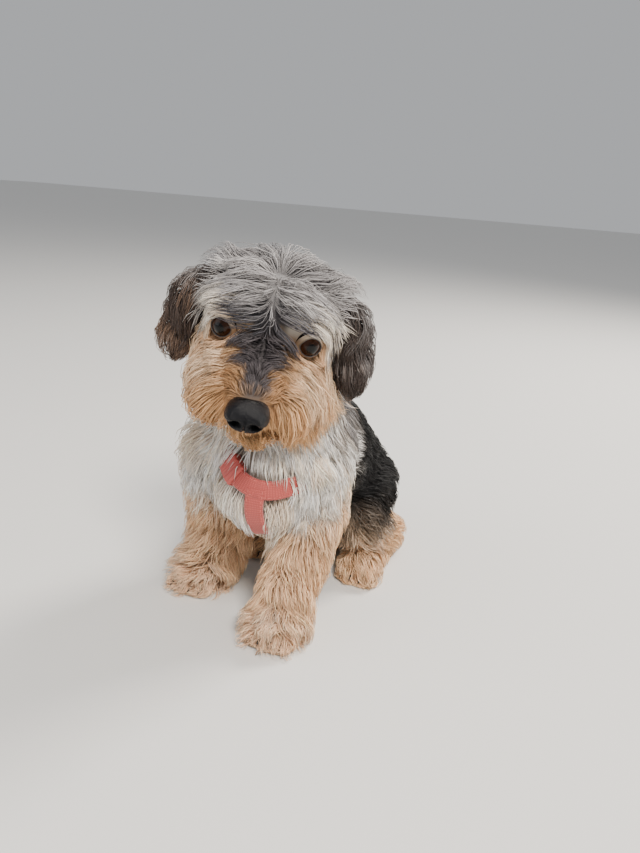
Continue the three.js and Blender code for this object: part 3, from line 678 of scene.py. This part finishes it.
def kindWeights(p):
    gaps = []
    depths = []
    for kind in kinds:
        found = [chainDistance(p, c, 0) for c in smoothChains[kind]]
        every = np.array([g for g, _ in found])
        best = every.argmin(axis=0)
        gaps.append(every.min(axis=0))
        depths.append(np.array([d for _, d in found])[best, np.arange(len(p))])
    gaps = np.array(gaps)
    weights = np.exp(-(gaps - gaps.min(axis=0)) / 3)
    weights /= weights.sum(axis=0)
    return weights, (weights * np.array(depths)).sum(axis=0)


triangleKind = kindWeights(triangles.mean(axis=1))[0].argmax(axis=0)


# Harness paths over the coat's core, so that hair can be kept off what shows of them
def trunkHeight(points):
    parts = [c for kind in ("neck", "chest", "rump") for c in smoothChains[kind]]
    return blended(np.array([chainDistance(points, c, coreShare)[0] for c in parts]), 2.5)


def trunkOutward(points):
    slopes = [trunkHeight(points + d) - trunkHeight(points - d) for d in np.eye(3) * 0.5]
    return unit(np.stack(slopes, -1))


def onTrunk(points):
    found = points.copy()
    for _ in range(4):
        found -= trunkOutward(found) * trunkHeight(found)[:, None]
    return found


def ringOnTrunk(centre, start, across, count):
    turn = np.arange(count) / count * 2 * np.pi
    out = start * np.cos(turn)[:, None] + across * np.sin(turn)[:, None]
    near = np.zeros(count)
    far = np.full(count, 110.0)
    for _ in range(24):
        middle = (near + far) / 2
        inside = trunkHeight(centre + out * middle[:, None]) < 0
        near = np.where(inside, middle, near)
        far = np.where(inside, far, middle)
    return centre + out * near[:, None]


def curveThrough(points, count):
    s = np.hstack([np.array(points, float), np.zeros((len(points), 2))])
    steps = max(1, count // (len(points) - 1))
    return smoothChain(s, steps)[:, :3]


harness = {
    "width": 11, "low": 0.5, "thick": 2.4, "edge": 0.5, "stitch": 2.6, "sink": 4.2,
    "loopAt": (0, -26, 123), "front": (7, -66, 100), "girthAt": (0.5, 22, 96),
}
loopCentre = np.array(harness["loopAt"], float)
loopFront = unit((np.array(harness["front"], float) - loopCentre)[None])[0]
loopSide = unit(np.cross(loopFront, np.array([0, 0.5, 0.87]))[None])[0]
neckRing = ringOnTrunk(loopCentre, loopFront, loopSide, 120)
girthFront = unit(np.array([[0, -0.35, -1.0]]))[0]
girthRing = ringOnTrunk(np.array(harness["girthAt"], float), girthFront, np.array([1.0, 0, 0]), 120)
chestLine = onTrunk(curveThrough([neckRing[0], (7, -68, 84), (7, -52, 62), (3, -24, 54), girthRing[0]], 60))
backLine = onTrunk(curveThrough([neckRing[60], girthRing[60]], 16))
shownStrap = np.vstack([neckRing[:14], neckRing[-7:], chestLine[:30]])
print("harness paths done")


def nearStrap(points, reach):
    flat = points.reshape(-1, 3)
    close = np.zeros(len(flat), bool)
    for q in shownStrap:
        close |= ((flat - q) ** 2).sum(axis=1) < reach * reach
    return close.reshape(points.shape[:-1])


hiddenStrap = np.vstack([neckRing[16:-9:2], girthRing[::2], backLine, chestLine[34::2]])


def overStrap(points):
    # how much a point is above a strap that the coat hides, from 0 to 1
    gap = np.full(len(points), 1e9)
    for q in hiddenStrap:
        gap = np.minimum(gap, ((points - q) ** 2).sum(axis=1))
    return step(clear["hiddenStrap"] - np.sqrt(gap), 0, 5)


def beforeEye(points, reach):
    hidden = np.zeros(points.shape[:-1], bool)
    for side in (1, -1):
        away = points - eyeCentre(side)
        ahead = away @ eyeAim(side)
        aside = np.linalg.norm(away - ahead[..., None] * eyeAim(side), axis=-1)
        hidden |= (ahead > 2) & (aside < reach + np.clip(ahead - 9, 0, 30) * 0.22)
    return hidden


nose = {"long": 11, "wide": 11.4, "high": 7.6, "pebble": 1600, "rings": 110, "sides": 160}
noseAt = inHead(45, 0, -25)


def inNose(points, extra):
    # inside the nose's own rounded form, grown by extra
    q = (points - noseAt) @ headTurn
    reach = np.array([nose["wide"], nose["long"], nose["high"]]) + extra
    return ((q / reach) ** 2).sum(axis=-1) < 1


def growHair(name, spec):
    chosen = np.isin(triangleKind, [kinds.index(k) for k in spec["kinds"]])
    pool = np.flatnonzero(chosen)
    share = areas[pool] / areas[pool].sum()
    count = int(areas[pool].sum() / 100 * spec["dense"])
    pick = rng.choice(pool, count, p=share)
    a, b = rng.random((2, count))
    over = a + b > 1
    a[over], b[over] = 1 - a[over], 1 - b[over]
    bary = np.stack([1 - a - b, a, b], -1)[:, :, None]
    roots = (triangles[pick] * bary).sum(axis=1)
    uvs = (triangleUvs[pick] * bary).sum(axis=1)
    keep = (roots[:, 2] > clear["floorRoot"]) & ~beforeEye(roots, clear["eyeRoot"])
    keep &= ~inNose(roots, 0.2)
    roots, uvs = roots[keep], uvs[keep]
    weights, depth = kindWeights(roots)
    clumpCount = max(4, int(areas[pool].sum() / spec["clump"] ** 2))
    clumpRoots = roots[rng.integers(0, len(roots), clumpCount)]
    # each hair leans to the nearest of a few clump roots
    owner = np.zeros(len(roots), int)
    best = np.full(len(roots), 1e9)
    for start in range(0, clumpCount, 256):
        block = clumpRoots[start : start + 256]
        gaps = ((roots[:, None, :] - block[None]) ** 2).sum(axis=2)
        found = gaps.argmin(axis=1)
        value = gaps[np.arange(len(roots)), found]
        closer = value < best
        owner = np.where(closer, found + start, owner)
        best = np.where(closer, value, best)
    clumpTurn = rng.normal(0, 0.2, clumpCount)
    clumpSize = rng.uniform(0.8, 1.2, clumpCount)
    clumpLift = rng.uniform(0.85, 1.2, clumpCount)
    clumpPhase = rng.uniform(0, 6.28, clumpCount)
    size = clumpSize[owner] * rng.uniform(0.75, 1.1, len(roots))
    turn = clumpTurn[owner] + rng.normal(0, 0.1, len(roots))
    lift = clumpLift[owner] * rng.uniform(0.6, 1.05, len(roots))
    phase = clumpPhase[owner] + rng.normal(0, 0.5, len(roots))
    length = spec["length"] * size
    f, l, u = asHead(roots)
    if name == "coat_crown":
        browHair = step(f, -20, -8) * step(26 - u, 0, 6)
        underEye = step(-u, -4, 4)
        length *= 1 - 0.3 * browHair - 0.45 * underEye
        depth = depth * (1 - 0.3 * underEye)
    if name == "coat_neck" or name == "coat_chest":
        length *= 1 + 0.25 * step(-roots[:, 0], 14, 30) * step(-roots[:, 1], 0, 20)
    if name == "coat_muzzle":
        length *= 0.55 + 0.75 * step(np.abs(l), 4, 14)
    rows = spec["rows"]
    onTrunkPiece = name in ("coat_neck", "coat_chest", "coat_back")
    ts = np.linspace(0, 1, rows + 1)
    points = [roots - field.outward(roots) * hair["rootDepth"]]
    for i in range(1, rows + 1):
        here = points[-1]
        t = ts[i]
        out = field.outward(here)
        lie = hairLie(here, weights)
        along = unit(lie - out * (lie * out).sum(axis=1, keepdims=True))
        sideways = np.cross(out, along)
        angle = turn + np.sin(phase + t * 5.0) * spec["wave"] * 0.12
        along = along * np.cos(angle)[:, None] + sideways * np.sin(angle)[:, None]
        move = here + along * (length / rows)[:, None]
        rise = depth * lift * (1 - (1 - t) ** 1.7) * (1 - 0.15 * t * t)
        if onTrunkPiece:
            rise = np.maximum(rise, overStrap(move) * (coreShare * depth + 5 + lift))
        move += field.outward(move) * (rise - field.height(move))[:, None] * 0.9
        move[:, 2] = np.maximum(move[:, 2], clear["floorRow"])
        points.append(move)
    points = np.stack(points, 1)
    # clumping: hairs draw together towards their tips
    sums = np.zeros((clumpCount, rows + 1, 3))
    np.add.at(sums, owner, points)
    number = np.bincount(owner, minlength=clumpCount)[:, None, None]
    middle = (sums / np.maximum(number, 1))[owner]
    pull = hair["clumpPull"] * ts**1.5
    points += (middle - points) * pull[None, :, None]
    points += rng.normal(0, hair["tipSpread"], points.shape) * (ts * 1.2)[None, :, None]
    points[:, :, 2] = np.maximum(points[:, :, 2], clear["floorTip"])
    shown = points[:, 1:]
    keep = ~(nearStrap(shown, clear["strap"]) | beforeEye(shown, clear["eye"]) | inNose(shown, 0.3)).any(axis=1)
    points, roots, uvs, weights = points[keep], roots[keep], uvs[keep], weights[:, keep]
    tone = markings(roots, weights)
    tone *= rng.uniform(0.72, 1.22, len(roots))[:, None]
    wide = spec["wide"] * rng.uniform(0.7, 1.2, len(roots))
    return buildHair(name, points, tone, wide, uvs)


def buildHair(name, points, tone, wide, uvs):
    count, rings, _ = points.shape
    sides = hair["sides"]
    along = np.empty_like(points)
    along[:, 1:-1] = points[:, 2:] - points[:, :-2]
    along[:, 0] = points[:, 1] - points[:, 0]
    along[:, -1] = points[:, -1] - points[:, -2]
    along /= np.maximum(np.linalg.norm(along, axis=2, keepdims=True), 1e-6)
    spin = rng.normal(size=(count, 3))
    ref = np.cross(along[:, 0], spin)
    verts = []
    taper = np.interp(np.linspace(0, 1, rings), [0, 0.35, 0.75, 1], [0.8, 1.0, 0.8, 0.4])
    for i in range(rings - 1):
        side = unit(ref - along[:, i] * (ref * along[:, i]).sum(axis=1, keepdims=True))
        other = np.cross(along[:, i], side)
        for k in range(sides):
            angle = 2 * np.pi * k / sides
            reach = (wide * taper[i])[:, None]
            verts.append(points[:, i] + (side * math.cos(angle) + other * math.sin(angle)) * reach)
    verts.append(points[:, -1])
    perHair = len(verts)
    everyPoint = np.stack(verts, 1)
    faces = []
    for i in range(rings - 2):
        for k in range(sides):
            a, b = i * sides + k, i * sides + (k + 1) % sides
            faces += [(a, b, b + sides), (a, b + sides, a + sides)]
    last = (rings - 2) * sides
    faces += [(last + k, last + (k + 1) % sides, perHair - 1) for k in range(sides)]
    faces = np.array(faces + [(0, 2, 1)])
    limit = hair["pieceLimit"] // len(faces)
    made = []
    for part, start in enumerate(range(0, count, limit)):
        block = everyPoint[start : start + limit]
        number = len(block)
        index = (faces[None] + (np.arange(number) * perHair)[:, None, None]).reshape(-1, 3)
        label = name if count <= limit else f"{name}_{part + 1}"
        mesh = bpy.data.meshes.new(label)
        mesh.vertices.add(number * perHair)
        mesh.vertices.foreach_set("co", toWorld(block).astype(np.float32).ravel())
        mesh.loops.add(index.size)
        mesh.loops.foreach_set("vertex_index", index.ravel().astype(np.int32))
        mesh.polygons.add(len(index))
        mesh.polygons.foreach_set("loop_start", np.arange(0, index.size, 3, dtype=np.int32))
        mesh.polygons.foreach_set("loop_total", np.full(len(index), 3, np.int32))
        mesh.update()
        mesh.shade_smooth()
        # colour: darker at the root, full towards the tip: partly the coat's own darker roots, partly painted shade
        # deep in the coat
        ringShare = np.repeat(np.arange(rings - 1) / (rings - 1), sides)
        ringShare = np.append(ringShare, 1.0)
        shade = 0.72 + 0.33 * ringShare**0.7
        colours = np.clip(tone[start : start + limit][:, None, :] * shade[None, :, None], 0, 1)
        paintPoints(mesh, "coatColour", colours.reshape(-1, 3))
        place = np.empty((number, perHair, 2))
        ringSide = np.append(np.tile(np.arange(sides), rings - 1) / sides, 0.5)
        place[:, :, 0] = uvs[start : start + limit][:, None, 0] + (ringShare - 0.5)[None] * hair["patch"]
        place[:, :, 1] = uvs[start : start + limit][:, None, 1] + (ringSide - 0.5)[None] * hair["patch"]
        cornerUv = place.reshape(-1, 2)[index.ravel()]
        mesh.uv_layers.new(name="OFBake").data.foreach_set("uv", cornerUv.astype(np.float32).ravel())
        piece = bpy.data.objects.new(label, mesh)
        bpy.context.collection.objects.link(piece)
        mesh.materials.append(coatMaterial)
        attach(piece, "root")
        made.append(piece)
    return made, len(faces) * count


# Materials
def newMaterial(name, roughness, colour=None, painted=None):
    made = bpy.data.materials.new(name)
    made.use_nodes = True
    shader = made.node_tree.nodes["Principled BSDF"]
    shader.inputs["Roughness"].default_value = roughness
    if colour:
        shader.inputs["Base Color"].default_value = (*colour, 1)
    if painted:
        tint = made.node_tree.nodes.new("ShaderNodeAttribute")
        tint.attribute_name = painted
        made.node_tree.links.new(tint.outputs["Color"], shader.inputs["Base Color"])
    return made, shader


def addBump(made, shader, height, strength, distance):
    bump = made.node_tree.nodes.new("ShaderNodeBump")
    bump.inputs["Strength"].default_value = strength
    bump.inputs["Distance"].default_value = distance
    made.node_tree.links.new(height, bump.inputs["Height"])
    made.node_tree.links.new(bump.outputs["Normal"], shader.inputs["Normal"])


def addGrain(made, shader, scale, strength, distance):
    grain = made.node_tree.nodes.new("ShaderNodeTexNoise")
    grain.inputs["Scale"].default_value = scale
    addBump(made, shader, grain.outputs["Fac"], strength, distance)


coatMaterial, coatShader = newMaterial("silky hair", 0.5, painted="coatColour")
coatShader.inputs["Specular IOR Level"].default_value = 0.25


def paintSkin():
    p = readAll(skin.data.vertices, "co", 3) * 1000 - shift
    # the skin takes the coat's colour at 0.45: painted shade deep in the coat, where it shows between the hairs
    paintPoints(skin.data, "coatColour", markings(p, kindWeights(p)[0]) * 0.45)
    made, shader = newMaterial("skin under the coat", 0.8, painted="coatColour")
    addGrain(made, shader, 900, 0.4, 0.0006)
    skin.data.materials.append(made)


paintSkin()
fleshNodes = [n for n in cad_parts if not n.startswith(("eye", "nose", "harness"))]
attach(skin, "root")
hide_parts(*fleshNodes)

total = 0
for name, spec in coatPieces.items():
    made, triangleCount = growHair(name, spec)
    total += triangleCount
    print(name, "pieces", len(made), "triangles", triangleCount)
print("coat triangles", total)


# Eyes: a dark wet ball with a brown iris, and dark lids
eye = {"iris": 6.6, "pupil": 3.1, "bulge": 0.7, "rings": 40, "sides": 64}


def eyeFrame(side):
    aim = eyeAim(side)
    across = unit(np.cross(aim, headwards(0, 0, 1))[None])[0]
    return eyeCentre(side), aim, across, np.cross(across, aim)


def makeEye(name, side):
    centre, aim, across, up = eyeFrame(side)
    rings, sides = eye["rings"], eye["sides"]
    points = []
    for i in range(1, rings):
        polar = math.pi * i / rings
        reach = head["eyeRadius"] * math.sin(polar)
        bulge = eye["bulge"] * math.exp(-((reach / 5.2) ** 2)) if polar < 1.5 else 0
        middle = centre + aim * (head["eyeRadius"] * math.cos(polar) + bulge)
        for k in range(sides):
            turn = 2 * math.pi * k / sides
            points.append(middle + (across * math.cos(turn) + up * math.sin(turn)) * reach)
    points.append(centre + aim * (head["eyeRadius"] + eye["bulge"]))
    points.append(centre - aim * head["eyeRadius"])
    made = linkMesh(name + "_ball", points, ballFaces(rings, sides))
    away = np.array(points) - centre
    ahead = away @ aim
    aside = np.linalg.norm(away - ahead[:, None] * aim, axis=1)
    iris = step(eye["iris"] - aside, -0.3, 0.5) * (ahead > 0)
    pupil = step(eye["pupil"] - aside, -0.2, 0.4) * (ahead > 0)
    base = np.tile([0.012, 0.008, 0.007], (len(points), 1))
    ring = 0.4 + 0.6 * step(aside, 3.0, 5.6)
    base = base * (1 - iris[:, None]) + np.array([0.04, 0.014, 0.006]) * iris[:, None] * ring[:, None]
    base = base * (1 - pupil[:, None]) + np.array([0.003, 0.003, 0.003]) * pupil[:, None]
    paintPoints(made.data, "eyeColour", base)
    material, shader = newMaterial("wet eye " + name, 0.03, painted="eyeColour")
    shader.inputs["Specular IOR Level"].default_value = 0.2
    made.data.materials.append(material)
    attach(made, "root")
    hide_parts(name)


lid = {"across": 6.6, "upper": 5.7, "lower": 5.0, "slant": 6, "sides": 72, "thick": 0.0004}
darkSkin, darkSkinShader = newMaterial("dark lid skin", 0.45, painted="coatColour")
addGrain(darkSkin, darkSkinShader, 1500, 0.3, 0.0003)
darkTone = np.array([0.014, 0.011, 0.011])


def makeLids(name, side):
    # rows run from the wet rim, over the lid's edge and back under the hair
    centre, aim, across, up = eyeFrame(side)
    slant = math.radians(lid["slant"]) * side
    count = lid["sides"]
    rows = [(-0.2, 0.97), (0.3, 0.98), (0.75, 1.03), (0.95, 1.12), (0.8, 1.25), (0.3, 1.42), (-0.6, 1.7), (-2.0, 2.0)]
    points = []
    for height, spread in rows:
        for k in range(count):
            turn = 2 * math.pi * k / count
            c, s = math.cos(turn), math.sin(turn)
            tall = lid["upper"] if s > 0 else lid["lower"]
            x = lid["across"] * c * spread
            y = tall * s * (1 - 0.25 * abs(c) ** 3) * spread
            x, y = x * math.cos(slant) - y * math.sin(slant), x * math.sin(slant) + y * math.cos(slant)
            flat = math.hypot(x, y)
            radius = head["eyeRadius"] + height
            bend = min(flat / radius, 1.45)
            direction = aim * math.cos(bend) + (across * x + up * y) / max(flat, 1e-6) * math.sin(bend)
            points.append(centre + direction * radius)
    made = linkMesh(name + "_lids", points, ringFaces(len(rows), count))
    p = np.array(points)
    # the rim rows keep the lid's own dark tone; the rows under the hair take the face colour at 0.7, painted shade
    # under the hair
    fromRim = step(np.repeat(np.arange(len(rows)), count), 2.2, 4.5)[:, None]
    shadedFaceTone = markings(p, kindWeights(p)[0]) * 0.7
    paintPoints(made.data, "coatColour", darkTone * (1 - fromRim) + shadedFaceTone * fromRim)
    made.data.materials.append(darkSkin)
    thick = made.modifiers.new("thickness", "SOLIDIFY")
    thick.thickness = lid["thick"]
    thick.offset = -1
    bpy.context.view_layer.objects.active = made
    bpy.ops.object.modifier_apply(modifier="thickness")
    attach(made, "root")


for name, side in (("eye_left", 1), ("eye_right", -1)):
    makeEye(name, side)
    makeLids(name, side)
print("eyes done")


# Nose: leather with nostrils, their side slits and the groove below
def dent(f, l, u, place, size, depth):
    gap = ((l - place[0]) / size[0]) ** 2 + ((u - place[1]) / size[1]) ** 2
    return depth * np.exp(-gap) * (f > 0)


def makeNose():
    rings, sides = nose["rings"], nose["sides"]
    polar = np.pi * (np.arange(1, rings) / rings)
    turn = 2 * np.pi * np.arange(sides) / sides
    pp, tt = np.meshgrid(polar, turn, indexing="ij")
    f = np.append(np.cos(pp).ravel(), [1, -1])
    l = np.append((np.sin(pp) * np.cos(tt)).ravel(), [0, 0])
    u = np.append((np.sin(pp) * np.sin(tt)).ravel(), [0, 0])
    # squarer front, narrower below
    power = (np.abs(f) ** 2.6 + np.abs(l) ** 2.6 + np.abs(u) ** 2.6) ** (1 / 2.6)
    f, l, u = f / power, l / power, u / power
    narrow = 1 - 0.28 * np.clip(-u, 0, 1) ** 1.2 - 0.06 * np.clip(u, 0, 1)
    ahead = f * nose["long"] * (1 - 0.12 * np.clip(-u, 0, 1))
    left = l * nose["wide"] * narrow
    up = u * nose["high"]
    push = np.zeros_like(ahead)
    for side in (1, -1):
        push += dent(f, left, up, (side * 4.4, -1.4), (2.0, 1.7), 6.5)  # nostril
        push += dent(f, left, up, (side * 7.6, -2.4), (2.2, 0.9), 4.5)  # its side slit
        push -= dent(f, left, up, (side * 7.2, 1.2), (2.8, 1.5), 0.9)  # the wing over it
    push += dent(f, left, up, (0, -6.0), (0.6, 4.6), 2.0)  # groove
    push += dent(f, left, up, (0, 1.5), (0.9, 3.2), 0.5)
    push += dent(f, left, up, (0, 7.5), (8, 2.6), 2.2)
    points = noseAt + np.stack([headwards(a, b, c) for a, b, c in zip(ahead - push, left, up)])
    made = linkMesh("nose_leather_form", points, ballFaces(rings, sides))
    material, shader = newMaterial("nose leather", 0.24, (0.006, 0.006, 0.0075))
    shader.inputs["Specular IOR Level"].default_value = 0.13
    pebbles = material.node_tree.nodes.new("ShaderNodeTexVoronoi")
    pebbles.inputs["Scale"].default_value = nose["pebble"]
    addBump(material, shader, pebbles.outputs["Distance"], 0.5, 0.00025)
    made.data.materials.append(material)
    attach(made, "root")
    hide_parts("nose")


makeNose()


# Claws: short dark cones, mostly in the hair of the toes
claw = {"long": 4.2, "thick": 1.05, "hook": 2.4, "rings": 7, "sides": 10}


def makeClaws(name, chains, lean):
    points, faces = [], []
    rings, sides = claw["rings"], claw["sides"]
    for chain in chains:
        tip = np.array(chain[1][:3], float)
        start = tip + np.array([0, -chain[1][3] + 0.6, 0.8])
        base = len(points)
        for i in range(rings):
            t = i / (rings - 1)
            centre = start + np.array([lean * t * claw["long"], -t * claw["long"], -claw["hook"] * t * t])
            radius = claw["thick"] * (1 - t) ** 0.7 + 0.05
            for k in range(sides):
                angle = 2 * np.pi * k / sides
                points.append(centre + np.array([math.cos(angle), 0.2, math.sin(angle)]) * radius)
        faces += ringFaces(rings, sides, base) + endFaces(rings, sides, base)
    made = linkMesh(name, points, faces)
    made.data.materials.append(newMaterial("horn of " + name, 0.35, (0.03, 0.022, 0.018))[0])
    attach(made, "root")


for foot, (x, y, lean) in toePlaces.items():
    makeClaws("claws_" + foot, toeChains(x, y, lean), lean)


def onSkin(points, height):
    found = np.array(points, float)
    for _ in range(4):
        found += field.outward(found) * (height - field.height(found))[:, None]
    return found


# Lips: a dark line under the nose, mostly in the hair
lips = {"above": 1.0, "thick": 1.5, "thinner": 0.9, "sides": 10}
lipCorners = [(20, 17, -38), (35, 10, -39), (46, 0, -35), (35, -10, -39), (20, -17, -38)]


def makeLips():
    line = onSkin(curveThrough([inHead(*corner) for corner in lipCorners], 40), lips["above"])
    count, sides = len(line), lips["sides"]
    radii = lips["thick"] - lips["thinner"] * np.abs(np.linspace(-1, 1, count)) ** 2
    along = unit(np.gradient(line, axis=0))
    ref = np.array([0, 0, 1.0])
    points = []
    for i in range(count):
        side = np.cross(along[i], ref)
        side /= max(np.linalg.norm(side), 1e-6)
        other = np.cross(side, along[i])
        for k in range(sides):
            angle = 2 * np.pi * k / sides
            points.append(line[i] + (side * math.cos(angle) + other * math.sin(angle)) * radii[i])
    made = linkMesh("lip_line", points, ringFaces(count, sides) + endFaces(count, sides))
    made.data.materials.append(darkSkin)
    paintPoints(made.data, "coatColour", darkTone)
    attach(made, "root")


makeLips()
print("nose and lips done")


# Harness webbing
def webbing():
    made, shader = newMaterial("woven webbing", 0.72)
    nodes, links = made.node_tree.nodes, made.node_tree.links
    shader.inputs["Sheen Weight"].default_value = 0.25
    place = nodes.new("ShaderNodeAttribute")
    place.attribute_name = "strapPlace"
    weave = nodes.new("ShaderNodeMath")
    weave.operation = "MULTIPLY"
    for i, (direction, scale) in enumerate((("X", 230), ("Y", 320))):
        threads = nodes.new("ShaderNodeTexWave")
        threads.bands_direction = direction
        threads.inputs["Scale"].default_value = scale
        links.new(place.outputs["Vector"], threads.inputs["Vector"])
        links.new(threads.outputs["Fac"], weave.inputs[i])
    # colour follows the weave's height: darker in its hollows and lighter on the threads' tops, painted shade and
    # light beside the bump
    ramp = nodes.new("ShaderNodeMix")
    ramp.data_type = "RGBA"
    shadedHollow, litThreadTop = [i for i in ramp.inputs if i.type == "RGBA"][:2]
    shadedHollow.default_value = (0.34, 0.05, 0.042, 1)
    litThreadTop.default_value = (0.56, 0.105, 0.088, 1)
    links.new(weave.outputs[0], ramp.inputs[0])
    links.new([o for o in ramp.outputs if o.type == "RGBA"][0], shader.inputs["Base Color"])
    addBump(made, shader, weave.outputs[0], 0.5, 0.0003)
    return made


webMaterial = webbing()


def strapFrame(line, isLoop=False):
    # out of the trunk and across the strap, at each point of its path
    if isLoop:
        along = unit(np.roll(line, -1, axis=0) - np.roll(line, 1, axis=0))
    else:
        along = unit(np.gradient(line, axis=0))
    out = trunkOutward(line)
    out = unit(out - along * (out * along).sum(axis=1, keepdims=True))
    return out, np.cross(out, along)


def lengthAlong(line):
    return np.concatenate([[0], np.cumsum(np.linalg.norm(np.diff(line, axis=0), axis=1))])


def makeStrap(name, line, isLoop, sink, node):
    out, side = strapFrame(line, isLoop)
    line = line - out * sink[:, None]
    half, edge = harness["width"] / 2, harness["edge"]
    section = [
        (-half + edge, low),
        (half - edge, low),
        (half, low + edge),
        (half, high - edge),
        (half - edge, high),
        (half * 0.5, high),
        (0, high),
        (-half * 0.5, high),
        (-half + edge, high),
        (-half, high - edge),
        (-half, low + edge),
    ]
    sides = len(section)
    points = np.stack([line + side * a + out * b for a, b in section], 1).reshape(-1, 3)
    count = len(line)
    faces = ringFaces(count, sides, closed=isLoop) + ([] if isLoop else endFaces(count, sides))
    made = linkMesh(name, points, faces)
    travelled = lengthAlong(line) / 1000
    places = np.zeros((count, sides, 3), np.float32)
    places[:, :, 0] = travelled[:, None]
    places[:, :, 1] = np.array([a for a, _ in section])[None] / 1000
    layer = made.data.attributes.new("strapPlace", "FLOAT_VECTOR", "POINT")
    layer.data.foreach_set("vector", places.ravel())
    made.data.materials.append(webMaterial)
    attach(made, "root")
    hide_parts(node)


low, high = harness["low"], harness["low"] + harness["thick"]
deep = harness["sink"]
neckIndex = np.arange(len(neckRing))
neckSink = deep * step(np.minimum(neckIndex - 15, len(neckRing) - 10 - neckIndex), 0, 8)
chestSink = deep * step(np.arange(len(chestLine)) - 33, 0, 8)
makeStrap("strap_neck", neckRing, True, neckSink, "harness_neck_loop")
makeStrap("strap_girth", girthRing, True, np.full(len(girthRing), deep), "harness_girth")
makeStrap("strap_chest", chestLine, False, chestSink, "harness_chest_strap")
makeStrap("strap_back", backLine, False, np.full(len(backLine), deep), "harness_back_strap")


# Slider: the doubled strap in ridges, over the neck strap on its right side
slider = {
    "from": 5, "to": 10, "rows": 73, "wider": 3, "lift": 1.3, "edge": 0.7, "below": 1.0, "ridge": 0.55, "ridges": 6,
}


def makeSlider():
    # finer rows along the ring between two of its points
    rows = slider["rows"]
    t = np.linspace(slider["from"], slider["to"], rows)
    line = np.stack([np.interp(t, np.arange(len(neckRing)), neckRing[:, k]) for k in range(3)], -1)
    out, side = strapFrame(line)
    half = (harness["width"] + slider["wider"]) / 2
    wave = np.abs(np.sin(np.linspace(0, np.pi * slider["ridges"], rows))) ** 0.6 * slider["ridge"]
    ends = step(np.minimum(np.arange(rows), rows - 1 - np.arange(rows)), 0, 5)
    top = high + slider["lift"] * (0.55 + 0.45 * ends) + wave
    bottom, edge = low - slider["below"], slider["edge"]
    points = []
    for i in range(rows):
        section = [(-half, bottom), (half, bottom), (half, top[i] - edge), (half - edge, top[i])]
        section += [(0, top[i]), (-half + edge, top[i]), (-half, top[i] - edge)]
        points += [line[i] + side[i] * a + out[i] * b for a, b in section]
    sides = len(section)
    made = linkMesh("slider", points, ringFaces(rows, sides) + endFaces(rows, sides))
    made.data.materials.append(newMaterial("ridged slider", 0.5, (0.5, 0.085, 0.072))[0])
    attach(made, "root")
    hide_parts("harness_slider")


makeSlider()


threadMaterial = newMaterial("stitching thread", 0.6, (0.62, 0.16, 0.135))[0]


def makeStitches(name, line):
    # short thread bars in two rows along a strap
    out, side = strapFrame(line)
    travelled = lengthAlong(line)
    insets = (-harness["width"] / 2 + 1.3, harness["width"] / 2 - 1.3)
    points, faces = [], []
    for inset in insets:
        for start in np.arange(1, travelled[-1] - harness["stitch"], harness["stitch"]):
            ends = []
            for reach in (start, start + harness["stitch"] * 0.68):
                t = np.interp(reach, travelled, np.arange(len(line)))
                i = int(t)
                part = t - i
                j = min(i + 1, len(line) - 1)
                here = line[i] * (1 - part) + line[j] * part + side[i] * inset + out[i] * high
                ends.append((here, side[i], out[i]))
            base = len(points)
            for here, across, up in ends:
                points += [here - across * 0.3 - up * 0.2, here + across * 0.3 - up * 0.2, here + up * 0.28]
            faces += [(base, base + 2, base + 1), (base + 3, base + 4, base + 5)]
            faces += [(base + k, base + (k + 1) % 3, base + 3 + (k + 1) % 3, base + 3 + k) for k in range(3)]
    made = linkMesh(name, points, faces)
    made.data.materials.append(threadMaterial)
    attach(made, "root")


makeStitches("stitches_neck_right", neckRing[:15])
makeStitches("stitches_neck_left", neckRing[-10:])
makeStitches("stitches_chest", chestLine[:33])
print("harness done")


# Floor and light
def makeFloor():
    mesh = bpy.data.meshes.new("floor")
    size = 14.0  # half a side, in metres
    mesh.from_pydata([(-size, -size, 0), (size, -size, 0), (size, size, 0), (-size, size, 0)], [], [(0, 1, 2, 3)])
    made = bpy.data.objects.new("floor", mesh)
    bpy.context.collection.objects.link(made)
    mesh.materials.append(newMaterial("pale floor", 0.9, (0.72, 0.71, 0.69))[0])


lights = {
    "key": {"at": (0.8, -0.9, 1.4), "size": 0.5, "power": 40, "tone": (1, 0.94, 0.86)},
    "fill": {"at": (-1.3, -1.0, 0.8), "size": 1.4, "power": 9, "tone": (0.97, 0.98, 1)},
    "rim": {"at": (0.7, 1.1, 1.2), "size": 0.6, "power": 40, "tone": (1, 0.94, 0.86)},
}


def makeLights():
    for name, spec in lights.items():
        data = bpy.data.lights.new(name, "AREA")
        data.size = spec["size"]
        data.energy = spec["power"]
        data.color = spec["tone"]
        made = bpy.data.objects.new(name, data)
        made.location = spec["at"]
        aim = Vector((0, 0, 0.13)) - Vector(spec["at"])
        made.rotation_euler = aim.to_track_quat("-Z", "Y").to_euler()
        bpy.context.collection.objects.link(made)
    world = bpy.context.scene.world or bpy.data.worlds.new("world")
    bpy.context.scene.world = world
    world.use_nodes = True
    background = world.node_tree.nodes["Background"]
    background.inputs["Color"].default_value = (0.92, 0.94, 0.97, 1)
    background.inputs["Strength"].default_value = 0.5


makeFloor()
makeLights()
print("floor and lights done")
